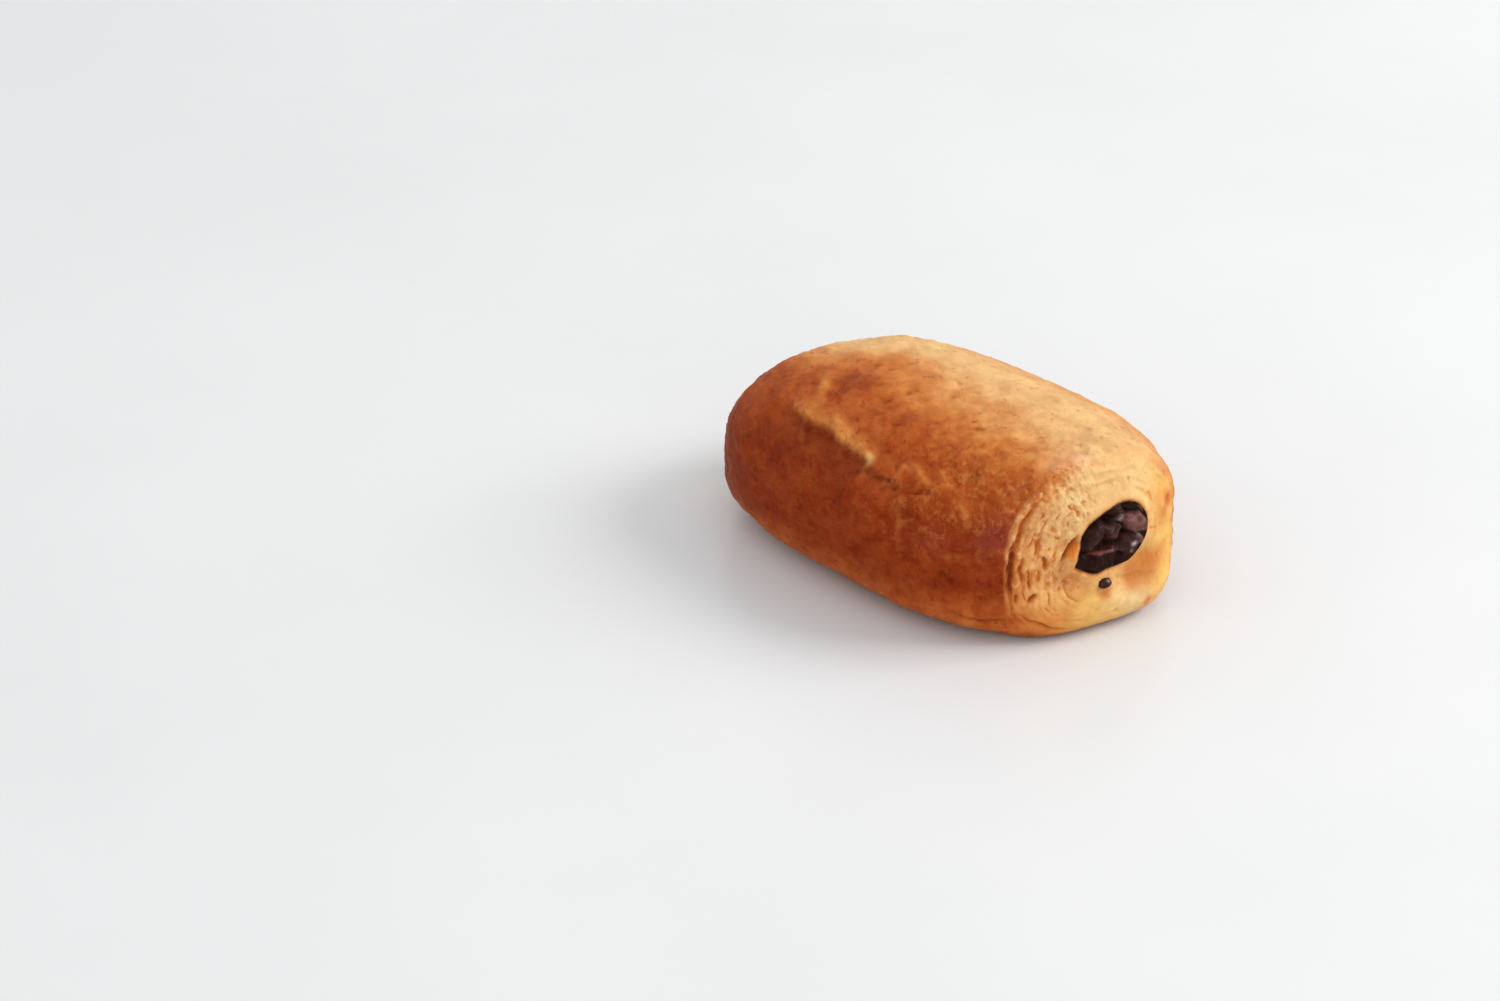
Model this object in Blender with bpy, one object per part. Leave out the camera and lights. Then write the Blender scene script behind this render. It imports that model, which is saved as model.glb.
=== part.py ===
"""A pain au chocolat: a baked roll of layered dough around a band of chocolate.

Metres, +Z up. The roll lies along X on a flattened base. Its near end points to +X.
"""
import math

import bpy
import numpy as np
from mathutils import Matrix

COLLECTION_NAME = "pain_au_chocolat"
CUTTER_COLLECTION_NAME = "cutters"

# Mesh density of the roll: points round a section, rings on each end and rings along the side
ROLL_SEGMENTS = 64
ROLL_END_RINGS = 17
ROLL_SIDE_RINGS = 24

# Length between the two rims, and how far each end domes out past its rim
SIDE_LENGTH = 0.0996
FAR_DOME = 0.0082
NEAR_DOME = 0.0074
DOME_POWER = 2.2
# The near end is fuller at its lower right, where the rim is soft
FULL_DOME_POWER = 5.5
FULL_DOME_DIRECTION = math.radians(285)

# Sections at the far end, the middle and the near end, measured from the centre line and the ground
LEFT_REACH = (0.0267, 0.0367, 0.0232)
RIGHT_REACH = (0.0269, 0.0420, 0.0240)
TOP_HEIGHT = (0.0354, 0.0414, 0.0434)
BASE_HEIGHT = (0.0019, -0.0009, -0.0004)
WIDTH_TAPER_POWER = 3.3
TOP_TAPER_POWER = 2.9
BASE_TAPER_POWER = 2.7
UPPER_ROUNDING = 2.3
LOWER_ROUNDING = 3.8
# Height of the widest point on each side, as a share of the height of the section
LEFT_WAIST = 0.49
RIGHT_WAIST = 0.57
# The near rim is further forward on the right than on the left, and at the base than at the top
NEAR_SLANT = 0.0050
NEAR_BASE_SLANT = 0.0024
SLANT_POWER = 3.0

# Rolled layers that show as a spiral of ridges on each end
END_RADIUS = 0.0230
LAYER_PITCH = 0.0051
LAYER_DEPTH = 0.0011
LAYER_START = 0.52
LAYER_BLEND = 0.10
LAYER_RIM = 0.985
LAYER_PHASE = 0.30

# Hollow beside the chocolate on the near end: place across, height, half-sizes and depth
POCKET_ACROSS = 0.0098
POCKET_HEIGHT = 0.0160
POCKET_HALF_WIDTH = 0.0085
POCKET_HALF_HEIGHT = 0.0058
POCKET_DEPTH = 0.0018

# Folds and dents of the crust: start and end as (share of the half length, degrees round the
# section from the right over the top), then half-width and height, below zero for a dent
CRUST_RADIUS = 0.0300
CRUST_FOLDS = (
    ((-0.50, 116), (0.11, 138), 0.0036, 0.0009),
    ((-0.36, 143), (-0.12, 143), 0.0048, -0.0020),
    ((0.25, 128), (0.46, 130), 0.0034, -0.0007),
    ((-0.78, 52), (-0.62, 52), 0.0080, 0.0007),
)

# Band of chocolate through the roll: centre of its section at each end, half-sizes and tilt
BAND_SEGMENTS = 36
BAND_END_RINGS = 7
BAND_SIDE_RINGS = 6
BAND_FAR_CENTRE = (0.0000, 0.0190)
BAND_NEAR_CENTRE = (0.0006, 0.0248)
BAND_FAR_X = -0.0542
BAND_NEAR_X = 0.0546
# The near face of the band leans back to the left, as the end of the roll does
BAND_NEAR_LEAN = 0.20
BAND_HALF_WIDTH = 0.0100
BAND_HALF_HEIGHT = 0.0071
BAND_TILT = math.radians(38)
BAND_ROUNDING = 2.3
BAND_DOME = 0.0022
BAND_DOME_POWER = 3.0
# Lumps on the ends of the band, as waves across and along the section
LUMP_HEIGHT = 0.0009
LUMP_LENGTH = 0.0068

# Drop of melted chocolate under the band on the near end
DROP_SEGMENTS = 18
DROP_RINGS = 10
DROP_CENTRE = (0.0570, -0.0022, 0.0143)
DROP_HALF_SIZES = (0.0013, 0.0019, 0.0014)

# Clearance between neighbouring pieces, and how far a cutter runs past the roll
PIECE_GAP = 0.0003
CUTTER_OVERRUN = 0.0100

# Colour, roughness and metallic of each material
CRUST_LOOK = ((0.62, 0.28, 0.09), 0.50, 0.0)
CHOCOLATE_LOOK = ((0.045, 0.020, 0.016), 0.35, 0.0)
SMOOTH_ANGLE = math.radians(35)
GAUSS_LIMIT = 30.0


def clear_scene():
    """Remove the objects a new file starts with."""
    for item in list(bpy.data.objects):
        bpy.data.objects.remove(item, do_unlink=True)


def make_collection(name):
    """Return a new collection linked to the scene."""
    group = bpy.data.collections.new(name)
    bpy.context.scene.collection.children.link(group)
    return group


def make_material(name, look):
    """Return a Principled BSDF material from a colour, a roughness and a metallic value."""
    colour, roughness, metallic = look
    material = bpy.data.materials.new(name)
    material.use_nodes = True
    shader = material.node_tree.nodes["Principled BSDF"]
    shader.inputs["Base Color"].default_value = (*colour, 1.0)
    shader.inputs["Roughness"].default_value = roughness
    shader.inputs["Metallic"].default_value = metallic
    material.diffuse_color = (*colour, 1.0)
    return material


def rounded(value, rounding):
    """Turn a sine or cosine into that of a superellipse."""
    return np.sign(value) * np.abs(value) ** (2.0 / rounding)


def smooth_step(value, low, high):
    """Rise from 0 at low to 1 at high with flat ends."""
    share = np.clip((value - low) / (high - low), 0.0, 1.0)
    return share * share * (3.0 - 2.0 * share)


def bell(distance):
    """Fall smoothly from 1 at distance 0, in units of the half-width."""
    return np.exp(-np.minimum(distance * distance, GAUSS_LIMIT))


def blend_stations(stations, along, power):
    """Blend from the middle value to an end value along the roll."""
    far, middle, near = stations
    weight = np.abs(along) ** power
    return middle + (np.where(along > 0.0, near, far) - middle) * weight


def roll_section(along, angle):
    """Return points of the side at a share of the half length and an angle round the section."""
    cosine = np.cos(angle)
    sine = np.sin(angle)
    upper = sine >= 0.0
    rounding = np.where(upper, UPPER_ROUNDING, LOWER_ROUNDING)
    across = rounded(cosine, rounding)
    left = blend_stations(LEFT_REACH, along, WIDTH_TAPER_POWER)
    right = blend_stations(RIGHT_REACH, along, WIDTH_TAPER_POWER)
    top = blend_stations(TOP_HEIGHT, along, TOP_TAPER_POWER)
    base = blend_stations(BASE_HEIGHT, along, BASE_TAPER_POWER)
    waist_share = (LEFT_WAIST + RIGHT_WAIST + (RIGHT_WAIST - LEFT_WAIST) * across) / 2.0
    waist = base + waist_share * (top - base)
    reach = np.where(upper, top - waist, waist - base)
    slant = NEAR_SLANT * across + NEAR_BASE_SLANT * np.maximum(-sine, 0.0)
    x = along * SIDE_LENGTH / 2.0 + slant * np.maximum(along, 0.0) ** SLANT_POWER
    y = np.where(cosine < 0.0, left, right) * across
    z = waist + reach * rounded(sine, rounding)
    return np.stack([x, y, z], axis=-1)


def end_centre(side):
    """Return the middle of the rim at the far (-1) or near (+1) end."""
    index = 0 if side < 0 else 2
    across = (RIGHT_REACH[index] - LEFT_REACH[index]) / 2.0
    height = (TOP_HEIGHT[index] + BASE_HEIGHT[index]) / 2.0
    return np.array([side * SIDE_LENGTH / 2.0, across, height])


def layer_relief(out, angle):
    """Return the depth of the spiral grooves between the rolled layers, as a negative number."""
    turns = out * END_RADIUS / LAYER_PITCH - angle / (2.0 * math.pi) + LAYER_PHASE
    groove = 0.5 - 0.5 * np.cos(2.0 * math.pi * turns)
    inner = smooth_step(out, LAYER_START, LAYER_START + LAYER_BLEND)
    rim = 1.0 - smooth_step(out, LAYER_RIM - LAYER_BLEND / 2.0, LAYER_RIM)
    return -LAYER_DEPTH * groove * groove * inner * rim


def pocket_relief(across, height):
    """Return the depth of the hollow beside the chocolate, as a negative number."""
    distance = np.hypot(
        (across - POCKET_ACROSS) / POCKET_HALF_WIDTH,
        (height - POCKET_HEIGHT) / POCKET_HALF_HEIGHT,
    )
    return -POCKET_DEPTH * bell(distance)


def fold_relief(along, angle):
    """Return the height of the folds and dents on the side of the crust."""
    half = SIDE_LENGTH / 2.0
    x = along * half
    around = angle * CRUST_RADIUS
    total = np.zeros_like(x)
    for start, end, half_width, height in CRUST_FOLDS:
        first = np.array([start[0] * half, math.radians(start[1]) * CRUST_RADIUS])
        last = np.array([end[0] * half, math.radians(end[1]) * CRUST_RADIUS])
        step = last - first
        share = ((x - first[0]) * step[0] + (around - first[1]) * step[1]) / step.dot(step)
        share = np.clip(share, 0.0, 1.0)
        gap = np.hypot(x - first[0] - share * step[0], around - first[1] - share * step[1])
        total = total + height * bell(gap / half_width)
    return total


def dome_power(angle, side):
    """Return the power of the dome of an end, larger where the end is fuller."""
    fuller = np.maximum(np.cos(angle - FULL_DOME_DIRECTION), 0.0) ** 2
    return DOME_POWER + (FULL_DOME_POWER - DOME_POWER) * fuller * np.where(side > 0.0, 1.0, 0.0)


def roll_surface(ring, angle):
    """Return points of the roll for ring numbers from the far pole to the near pole."""
    last_side_ring = ROLL_END_RINGS + ROLL_SIDE_RINGS
    last_ring = last_side_ring + ROLL_END_RINGS
    side = np.where(ring < last_ring / 2.0, -1.0, 1.0)
    along = np.clip(2.0 * (ring - ROLL_END_RINGS) / ROLL_SIDE_RINGS - 1.0, -1.0, 1.0)
    out = np.clip(np.minimum(ring, last_ring - ring) / ROLL_END_RINGS, 0.0, 1.0)
    rim = roll_section(along, angle)
    centre = np.where(side[..., None] < 0.0, end_centre(-1), end_centre(1))
    on_end = out < 1.0
    point = np.where(on_end[..., None], centre + (rim - centre) * out[..., None], rim)
    dome = np.where(side < 0.0, FAR_DOME, NEAR_DOME)
    relief = layer_relief(out, angle)
    relief = relief + np.where(side > 0.0, pocket_relief(point[..., 1], point[..., 2]), 0.0)
    point[..., 0] += np.where(on_end, side * (dome * (1.0 - out ** dome_power(angle, side)) + relief), 0.0)
    # The folds push the side out or in, away from the middle of the section
    arm = rim - np.stack([rim[..., 0], centre[..., 1], centre[..., 2]], axis=-1)
    arm = arm / np.linalg.norm(arm, axis=-1)[..., None]
    lift = np.where(on_end, 0.0, fold_relief(along, angle))
    point = point + arm * lift[..., None]
    # The base is pressed flat where the roll lay on the tray
    point[..., 2] = np.maximum(point[..., 2], 0.0)
    return point


def band_point(x, radius, angle, grow):
    """Return points of the band at a place along X and a share of its section."""
    share = (x - BAND_FAR_X) / (BAND_NEAR_X - BAND_FAR_X)
    wide = radius * (BAND_HALF_WIDTH + grow) * rounded(np.cos(angle), BAND_ROUNDING)
    tall = radius * (BAND_HALF_HEIGHT + grow) * rounded(np.sin(angle), BAND_ROUNDING)
    across = BAND_FAR_CENTRE[0] + share * (BAND_NEAR_CENTRE[0] - BAND_FAR_CENTRE[0])
    height = BAND_FAR_CENTRE[1] + share * (BAND_NEAR_CENTRE[1] - BAND_FAR_CENTRE[1])
    y = across + wide * math.cos(BAND_TILT) - tall * math.sin(BAND_TILT)
    z = height + wide * math.sin(BAND_TILT) + tall * math.cos(BAND_TILT)
    return y, z


def lump_relief(across, height):
    """Return the height of the lumps on the broken ends of the band."""
    wave = 2.0 * math.pi / LUMP_LENGTH
    return LUMP_HEIGHT * np.sin(across * wave) * np.cos(height * wave)


def band_surface(ring, angle):
    """Return points of the band for ring numbers from the far pole to the near pole."""
    last_ring = BAND_SIDE_RINGS + 2 * BAND_END_RINGS
    side = np.where(ring < last_ring / 2.0, -1.0, 1.0)
    share = np.clip((ring - BAND_END_RINGS) / BAND_SIDE_RINGS, 0.0, 1.0)
    out = np.clip(np.minimum(ring, last_ring - ring) / BAND_END_RINGS, 0.0, 1.0)
    x = BAND_FAR_X + share * (BAND_NEAR_X - BAND_FAR_X)
    y, z = band_point(x, out, angle, 0.0)
    lumps = lump_relief(y, z) * (1.0 - out ** BAND_DOME_POWER)
    x = x + share * BAND_NEAR_LEAN * (y - BAND_NEAR_CENTRE[0])
    x = x + side * (BAND_DOME * (1.0 - out ** BAND_DOME_POWER) + lumps)
    return np.stack([x, y, z], axis=-1)


def mould_sphere(name, segments, rings, surface, group):
    """Add a sphere primitive and move its points to a surface given by ring and angle."""
    bpy.ops.mesh.primitive_uv_sphere_add(segments=segments, ring_count=rings, radius=1.0)
    item = bpy.context.object
    mesh = item.data
    points = np.empty(len(mesh.vertices) * 3)
    mesh.vertices.foreach_get("co", points)
    points = points.reshape(-1, 3)
    ring = np.round(rings * np.arccos(np.clip(-points[:, 2], -1.0, 1.0)) / math.pi)
    angle = np.mod(np.arctan2(points[:, 1], points[:, 0]), 2.0 * math.pi)
    mesh.vertices.foreach_set("co", surface(ring, angle).ravel())
    mesh.update()
    return file_object(item, name, group)


def file_object(item, name, group):
    """Name an object and put it in one collection only."""
    item.name = name
    item.data.name = name
    for owner in list(item.users_collection):
        owner.objects.unlink(item)
    group.objects.link(item)
    return item


def add_band_cutter(group):
    """Add a closed tube a little larger than the band that runs past both ends of the roll."""
    bpy.ops.mesh.primitive_cylinder_add(vertices=BAND_SEGMENTS, radius=1.0, depth=2.0)
    item = bpy.context.object
    mesh = item.data
    points = np.empty(len(mesh.vertices) * 3)
    mesh.vertices.foreach_get("co", points)
    points = points.reshape(-1, 3)
    angle = np.mod(np.arctan2(points[:, 1], points[:, 0]), 2.0 * math.pi)
    reach = SIDE_LENGTH / 2.0 + max(FAR_DOME, NEAR_DOME) + CUTTER_OVERRUN
    x = points[:, 2] * reach
    y, z = band_point(x, 1.0, angle, PIECE_GAP)
    mesh.vertices.foreach_set("co", np.stack([x, y, z], axis=-1).ravel())
    mesh.update()
    return file_object(item, "band_cutter", group)


def add_drop(name, grow, group):
    """Add the drop, or a cutter for its seat when grow is above zero."""
    bpy.ops.mesh.primitive_uv_sphere_add(segments=DROP_SEGMENTS, ring_count=DROP_RINGS, radius=1.0)
    item = bpy.context.object
    mesh = item.data
    points = np.empty(len(mesh.vertices) * 3)
    mesh.vertices.foreach_get("co", points)
    points = points.reshape(-1, 3)
    points = points * (np.array(DROP_HALF_SIZES) + grow) + np.array(DROP_CENTRE)
    mesh.vertices.foreach_set("co", points.ravel())
    mesh.update()
    return file_object(item, name, group)


def cut(target, cutter):
    """Take a cutter out of a target with an exact Boolean."""
    modifier = target.modifiers.new("cut_" + cutter.name, "BOOLEAN")
    modifier.operation = "DIFFERENCE"
    modifier.solver = "EXACT"
    modifier.object = cutter
    cutter.hide_render = True
    cutter.display_type = "WIRE"


def finish(item, material):
    """Give a piece its material and smooth shading."""
    item.data.materials.clear()
    item.data.materials.append(material)
    item.data.shade_smooth()
    item.data.set_sharp_from_angle(angle=SMOOTH_ANGLE)


def centre_offset(item):
    """Return the move that puts the middle of a cut piece's outline over the origin."""
    cut_mesh = item.evaluated_get(bpy.context.evaluated_depsgraph_get()).data
    points = np.empty(len(cut_mesh.vertices) * 3)
    cut_mesh.vertices.foreach_get("co", points)
    points = points.reshape(-1, 3)
    middle = (points.min(axis=0) + points.max(axis=0)) / 2.0
    return Matrix.Translation((-middle[0], -middle[1], 0.0))


def main():
    """Build the roll, the band of chocolate and the drop."""
    clear_scene()
    group = make_collection(COLLECTION_NAME)
    cutters = make_collection(CUTTER_COLLECTION_NAME)
    crust = make_material("crust", CRUST_LOOK)
    chocolate = make_material("chocolate", CHOCOLATE_LOOK)

    roll_rings = ROLL_SIDE_RINGS + 2 * ROLL_END_RINGS
    pastry = mould_sphere("pastry", ROLL_SEGMENTS, roll_rings, roll_surface, group)
    cut(pastry, add_band_cutter(cutters))
    cut(pastry, add_drop("drop_cutter", PIECE_GAP, cutters))
    finish(pastry, crust)

    band_rings = BAND_SIDE_RINGS + 2 * BAND_END_RINGS
    band = mould_sphere("chocolate", BAND_SEGMENTS, band_rings, band_surface, group)
    finish(band, chocolate)

    drop = add_drop("chocolate_drop", 0.0, group)
    finish(drop, chocolate)

    offset = centre_offset(pastry)
    for item in (*group.objects, *cutters.objects):
        item.data.transform(offset)


main()
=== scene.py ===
import itertools
import math

import bpy
import numpy as np
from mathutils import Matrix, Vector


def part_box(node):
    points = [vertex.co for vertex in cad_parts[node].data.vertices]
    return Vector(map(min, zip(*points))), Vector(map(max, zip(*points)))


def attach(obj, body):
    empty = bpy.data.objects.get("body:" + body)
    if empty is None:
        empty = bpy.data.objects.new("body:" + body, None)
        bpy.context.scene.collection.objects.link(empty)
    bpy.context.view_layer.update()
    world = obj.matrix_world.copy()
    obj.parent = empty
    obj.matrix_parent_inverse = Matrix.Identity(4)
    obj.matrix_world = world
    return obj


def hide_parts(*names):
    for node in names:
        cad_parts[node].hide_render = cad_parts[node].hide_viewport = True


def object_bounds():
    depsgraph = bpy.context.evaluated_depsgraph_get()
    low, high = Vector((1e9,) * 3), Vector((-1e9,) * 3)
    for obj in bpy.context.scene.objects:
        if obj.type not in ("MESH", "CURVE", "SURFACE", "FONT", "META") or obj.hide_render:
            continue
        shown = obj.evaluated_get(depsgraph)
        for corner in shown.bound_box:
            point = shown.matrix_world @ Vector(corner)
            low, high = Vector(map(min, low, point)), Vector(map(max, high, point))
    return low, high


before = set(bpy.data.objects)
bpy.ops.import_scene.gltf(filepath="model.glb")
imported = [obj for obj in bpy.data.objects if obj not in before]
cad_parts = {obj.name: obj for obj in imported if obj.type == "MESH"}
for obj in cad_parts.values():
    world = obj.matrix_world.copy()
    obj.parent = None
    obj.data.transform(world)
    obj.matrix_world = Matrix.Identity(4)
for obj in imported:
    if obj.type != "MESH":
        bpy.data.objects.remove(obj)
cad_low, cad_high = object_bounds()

# Lengths are in millimetres in the roll's own frame. They are scaled and moved into the row frame last.
MILLIMETRE = 0.001
TURN = 2 * math.pi

# Form of the roll, the same values as in the solid
SIDE_LENGTH = 99.6
HALF_LENGTH = SIDE_LENGTH / 2
FAR_DOME = 8.2
NEAR_DOME = 7.4
DOME_POWER = 2.2
FULL_DOME_POWER = 5.5
FULL_DOME_DIRECTION = math.radians(285)
LEFT_REACH = (26.7, 36.7, 23.2)
RIGHT_REACH = (26.9, 42, 24)
TOP_HEIGHT = (35.4, 41.4, 43.4)
BASE_HEIGHT = (1.9, -0.9, -0.4)
WIDTH_TAPER_POWER = 3.3
TOP_TAPER_POWER = 2.9
BASE_TAPER_POWER = 2.7
UPPER_ROUNDING = 2.3
LOWER_ROUNDING = 3.8
LEFT_WAIST = 0.49
RIGHT_WAIST = 0.57
NEAR_SLANT = 5
NEAR_BASE_SLANT = 2.4
SLANT_POWER = 3
BAND_FAR_CENTRE = (0, 19)
BAND_NEAR_CENTRE = (0.6, 24.8)
BAND_FAR_X = -54.2
BAND_NEAR_X = 54.6
BAND_HALF_WIDTH = 10
BAND_HALF_HEIGHT = 7.1
BAND_TILT = math.radians(38)
BAND_ROUNDING = 2.3
# How far the visible outline of the chocolate lies outside the even one, by degrees in the band's axes
OUTLINE_SHIFTS = (
    (-2, -0.2), (15, -0.3), (31, -0.6), (54, -0.5), (82, 0.2), (105, 0.8), (125, 0.8), (145, -0.2),
    (160, -0.1), (169, 1.2), (176, 0.5), (192, -0.4), (216, -1.9), (240, -1.2), (261, -0.4),
    (294, 0.3), (319, 0.5), (336, 0.1),
)
DROP_CENTRE = (57, -2.2, 14.3)
DROP_HALF_SIZES = (1.3, 1.9, 1.4)

# Mesh of the visual roll: points round a section, and rings of each stretch
SEGMENTS = 400
NEAR_RINGS = 62
SIDE_RINGS = 160
FAR_RINGS = 23
CHANNEL_RINGS = 2
BASE_SPACING = 2
BASE_SPARSE = (4, 1)
END_CROWDING = 0.22
SIDE_RADIUS = 30
SKIN_ALLOWANCE = 0.25
# The gap to an opening that a point of the side is given
NO_GAP = 99
# How the rims are rounded: how many rings to either side, the half-width as a share of them, and passes
NEAR_SOFTENING = 14
FAR_SOFTENING = 10
SOFTENING_SHARE = 0.55
SOFTENING_PASSES = 80
# The near rim is crisper about one direction, within a half-width in radians
CRISP_DIRECTION = math.radians(190)
CRISP_HALF_WIDTH = 0.75
CRISP_SHARE = 0.93
# The skin's marks are longer along a slant across the roll
SKIN_TURN = math.radians(48)
SKIN_STRETCH = 1.6


# Shape helpers. A line's mark is never thinner or fainter than these shares.
LINE_THINNEST = 0.4
LINE_FAINTEST = 0.35
NOISE_ARROWS = 256
NOISE_STRENGTH = 1.7
ANGLE_SAMPLES = 1440


def rounded(value, rounding):
    """Turn a sine or cosine into that of a superellipse."""
    return np.sign(value) * np.abs(value) ** (2 / rounding)


def smooth_step(value, low, high):
    """Rise from 0 at low to 1 at high with flat ends, also where high lies below low."""
    share = np.clip((value - low) / (high - low), 0, 1)
    return share * share * (3 - 2 * share)


def bell(distance):
    """Fall smoothly from 1 at distance 0, in units of the half-width."""
    return np.exp(-np.minimum(distance * distance, 30))


def gradient_noise(points, size, seed):
    """Return smooth noise of about -1 to 1 at points, with lumps of the given size."""
    random = np.random.default_rng(seed)
    arrows = random.normal(size=(NOISE_ARROWS, 3))
    arrows /= np.linalg.norm(arrows, axis=1)[:, None]
    order = random.permutation(NOISE_ARROWS)
    last = NOISE_ARROWS - 1
    place = points / size + random.uniform(0, 50, 3)
    cell = np.floor(place).astype(int)
    inside = place - cell
    fade = inside ** 3 * (inside * (inside * 6 - 15) + 10)
    total = np.zeros(points.shape[:-1])
    for corner in itertools.product((0, 1), repeat=3):
        step = np.array(corner)
        key = cell + step
        pick = order[(order[(order[key[..., 0] & last] + key[..., 1]) & last] + key[..., 2]) & last]
        weight = np.prod(np.where(step, fade, 1 - fade), axis=-1)
        total += weight * np.sum(arrows[pick] * (inside - step), axis=-1)
    return total * NOISE_STRENGTH


def noise(points, size, seed, octaves=1, gain=0.5, squeeze=(1, 1, 1)):
    """Return noise with finer and fainter lumps on top of coarse ones, in squeezed space."""
    squeezed = points * np.array(squeeze)
    layers = [gradient_noise(squeezed, size / 2 ** octave, seed + octave) for octave in range(octaves)]
    return sum(gain ** octave * layer for octave, layer in enumerate(layers))


def skin_place(points):
    """Return places in which the skin's marks are as long as they are wide."""
    across = math.cos(SKIN_TURN) * points[..., 0] + math.sin(SKIN_TURN) * points[..., 1]
    along = math.cos(SKIN_TURN) * points[..., 1] - math.sin(SKIN_TURN) * points[..., 0]
    return np.stack([across, along / SKIN_STRETCH, points[..., 2]], axis=-1)


def line_place(first, second, line):
    """Return each point's signed distance from a line of corners, how far along it lies, and the length."""
    best = np.full(np.shape(first), np.inf)
    signed = np.zeros(np.shape(first))
    along = np.zeros(np.shape(first))
    corners = np.array(line, float)
    before = 0
    for start, end in zip(corners[:-1], corners[1:]):
        step = end - start
        length = np.linalg.norm(step)
        share = ((first - start[0]) * step[0] + (second - start[1]) * step[1]) / length ** 2
        share = np.clip(share, 0, 1)
        beside_first = first - start[0] - share * step[0]
        beside_second = second - start[1] - share * step[1]
        gap = np.hypot(beside_first, beside_second)
        closer = gap < best
        best = np.where(closer, gap, best)
        side = np.sign(step[0] * beside_second - step[1] * beside_first)
        signed = np.where(closer, side * gap, signed)
        along = np.where(closer, before + share * length, along)
        before += length
    return signed, along, before


def line_mark(first, second, line, half_width, taper=0.25, flat=0):
    """Return 1 on a line, falling to 0 beside it and thinning at its ends; flat widens the top."""
    signed, along, length = line_place(first, second, line)
    share = along / length
    ends = smooth_step(share, -0.02, taper) * smooth_step(share, 1.02, 1 - taper)
    width = half_width * (LINE_THINNEST + (1 - LINE_THINNEST) * ends)
    gap = np.maximum(np.abs(signed) / width - flat, 0) / (1 - flat)
    return bell(gap) * (LINE_FAINTEST + (1 - LINE_FAINTEST) * ends)


def carve(first, second, lines):
    """Return the summed height and strongest tint of lines, each with half-width, height, tint and ends."""
    height = np.zeros(np.shape(first))
    tint = np.zeros(np.shape(first))
    for line, half_width, rise, strength, *ends in lines:
        mark = line_mark(first, second, line, half_width, *ends)
        height = height + rise * mark
        tint = np.maximum(tint, strength * mark)
    return height, tint


def on_side(line):
    """Turn (share of the half length, degrees round the section) into millimetres on the unrolled side."""
    return [(along * HALF_LENGTH, math.radians(degrees) * SIDE_RADIUS) for along, degrees in line]


def carve_side(first, second, lines):
    """Carve lines given on the side."""
    return carve(first, second, [(on_side(line), *rest) for line, *rest in lines])


# Measures are a dictionary of arrays, one value a point. Each factor is the name of a measure or a
# function of the dictionary, which the next functions make.


def step(name, low, high, floor=0):
    """Rise from the floor to 1 as a measure goes from low to high."""
    return lambda measures: floor + (1 - floor) * smooth_step(measures[name], low, high)


def band(name, centre, half_width):
    """Fall off beside a value of a measure."""
    return lambda measures: bell((measures[name] - centre) / half_width)


def patch(first, second, half_first, half_second, wobble=0):
    """Fall off around a place on a surface, with an edge that the mottle makes uneven."""
    return lambda measures: bell(np.hypot(
        (measures["first"] - first) / half_first, (measures["second"] - second) / half_second
    ) + wobble * measures["mottle"])


def product(measures, factors):
    """Multiply measures, given by name or as functions."""
    result = 1
    for factor in factors:
        result = result * (measures[factor] if isinstance(factor, str) else factor(measures))
    return result


def total(*terms):
    """Add up terms, each a weight and the factors that it goes with."""
    return lambda measures: sum(weight * product(measures, factors) for weight, *factors in terms)


def largest(*terms):
    """Take the largest of terms, each a weight and the factors that it goes with."""
    return lambda measures: np.maximum.reduce([
        weight * product(measures, factors) for weight, *factors in terms
    ])


def add_noises(measures, points, noises):
    """Add noises, each with its size, seed, octaves, gain and squeeze."""
    for name, settings in noises.items():
        measures[name] = noise(points, *settings)


def add_masks(measures, masks):
    """Add masks, each a product of factors that come before it."""
    for name, factors in masks.items():
        measures[name] = product(measures, factors)


def ridges(values):
    """Turn noise into ridges where it crosses zero."""
    return 1 - np.abs(values) * 2


def layer_steps(phase):
    """Return the distance from the middle of each layer, 0 to 1, for a phase that grows by 1 a layer."""
    return np.abs(np.mod(phase, 1) - 0.5) * 2


def mix(first, second, share):
    """Blend colours by a share per point."""
    return first + (np.asarray(second) - first) * np.clip(share, 0, 1)[..., None]


def pitted(colour):
    """Darken and redden a colour."""
    return colour * np.array(PIT_TINT)


def paint(colour, measures, layers):
    """Lay tints over a colour, each by a strength and its factors."""
    for tint, strength, *factors in layers:
        target = tint(colour) if callable(tint) else tint
        colour = mix(colour, target, strength * product(measures, factors))
    return colour


# Form of the roll


def blend_stations(stations, along, power):
    """Blend from the middle value to an end value along the roll."""
    far, middle, near = stations
    weight = np.abs(along) ** power
    return middle + (np.where(along > 0, near, far) - middle) * weight


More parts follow.
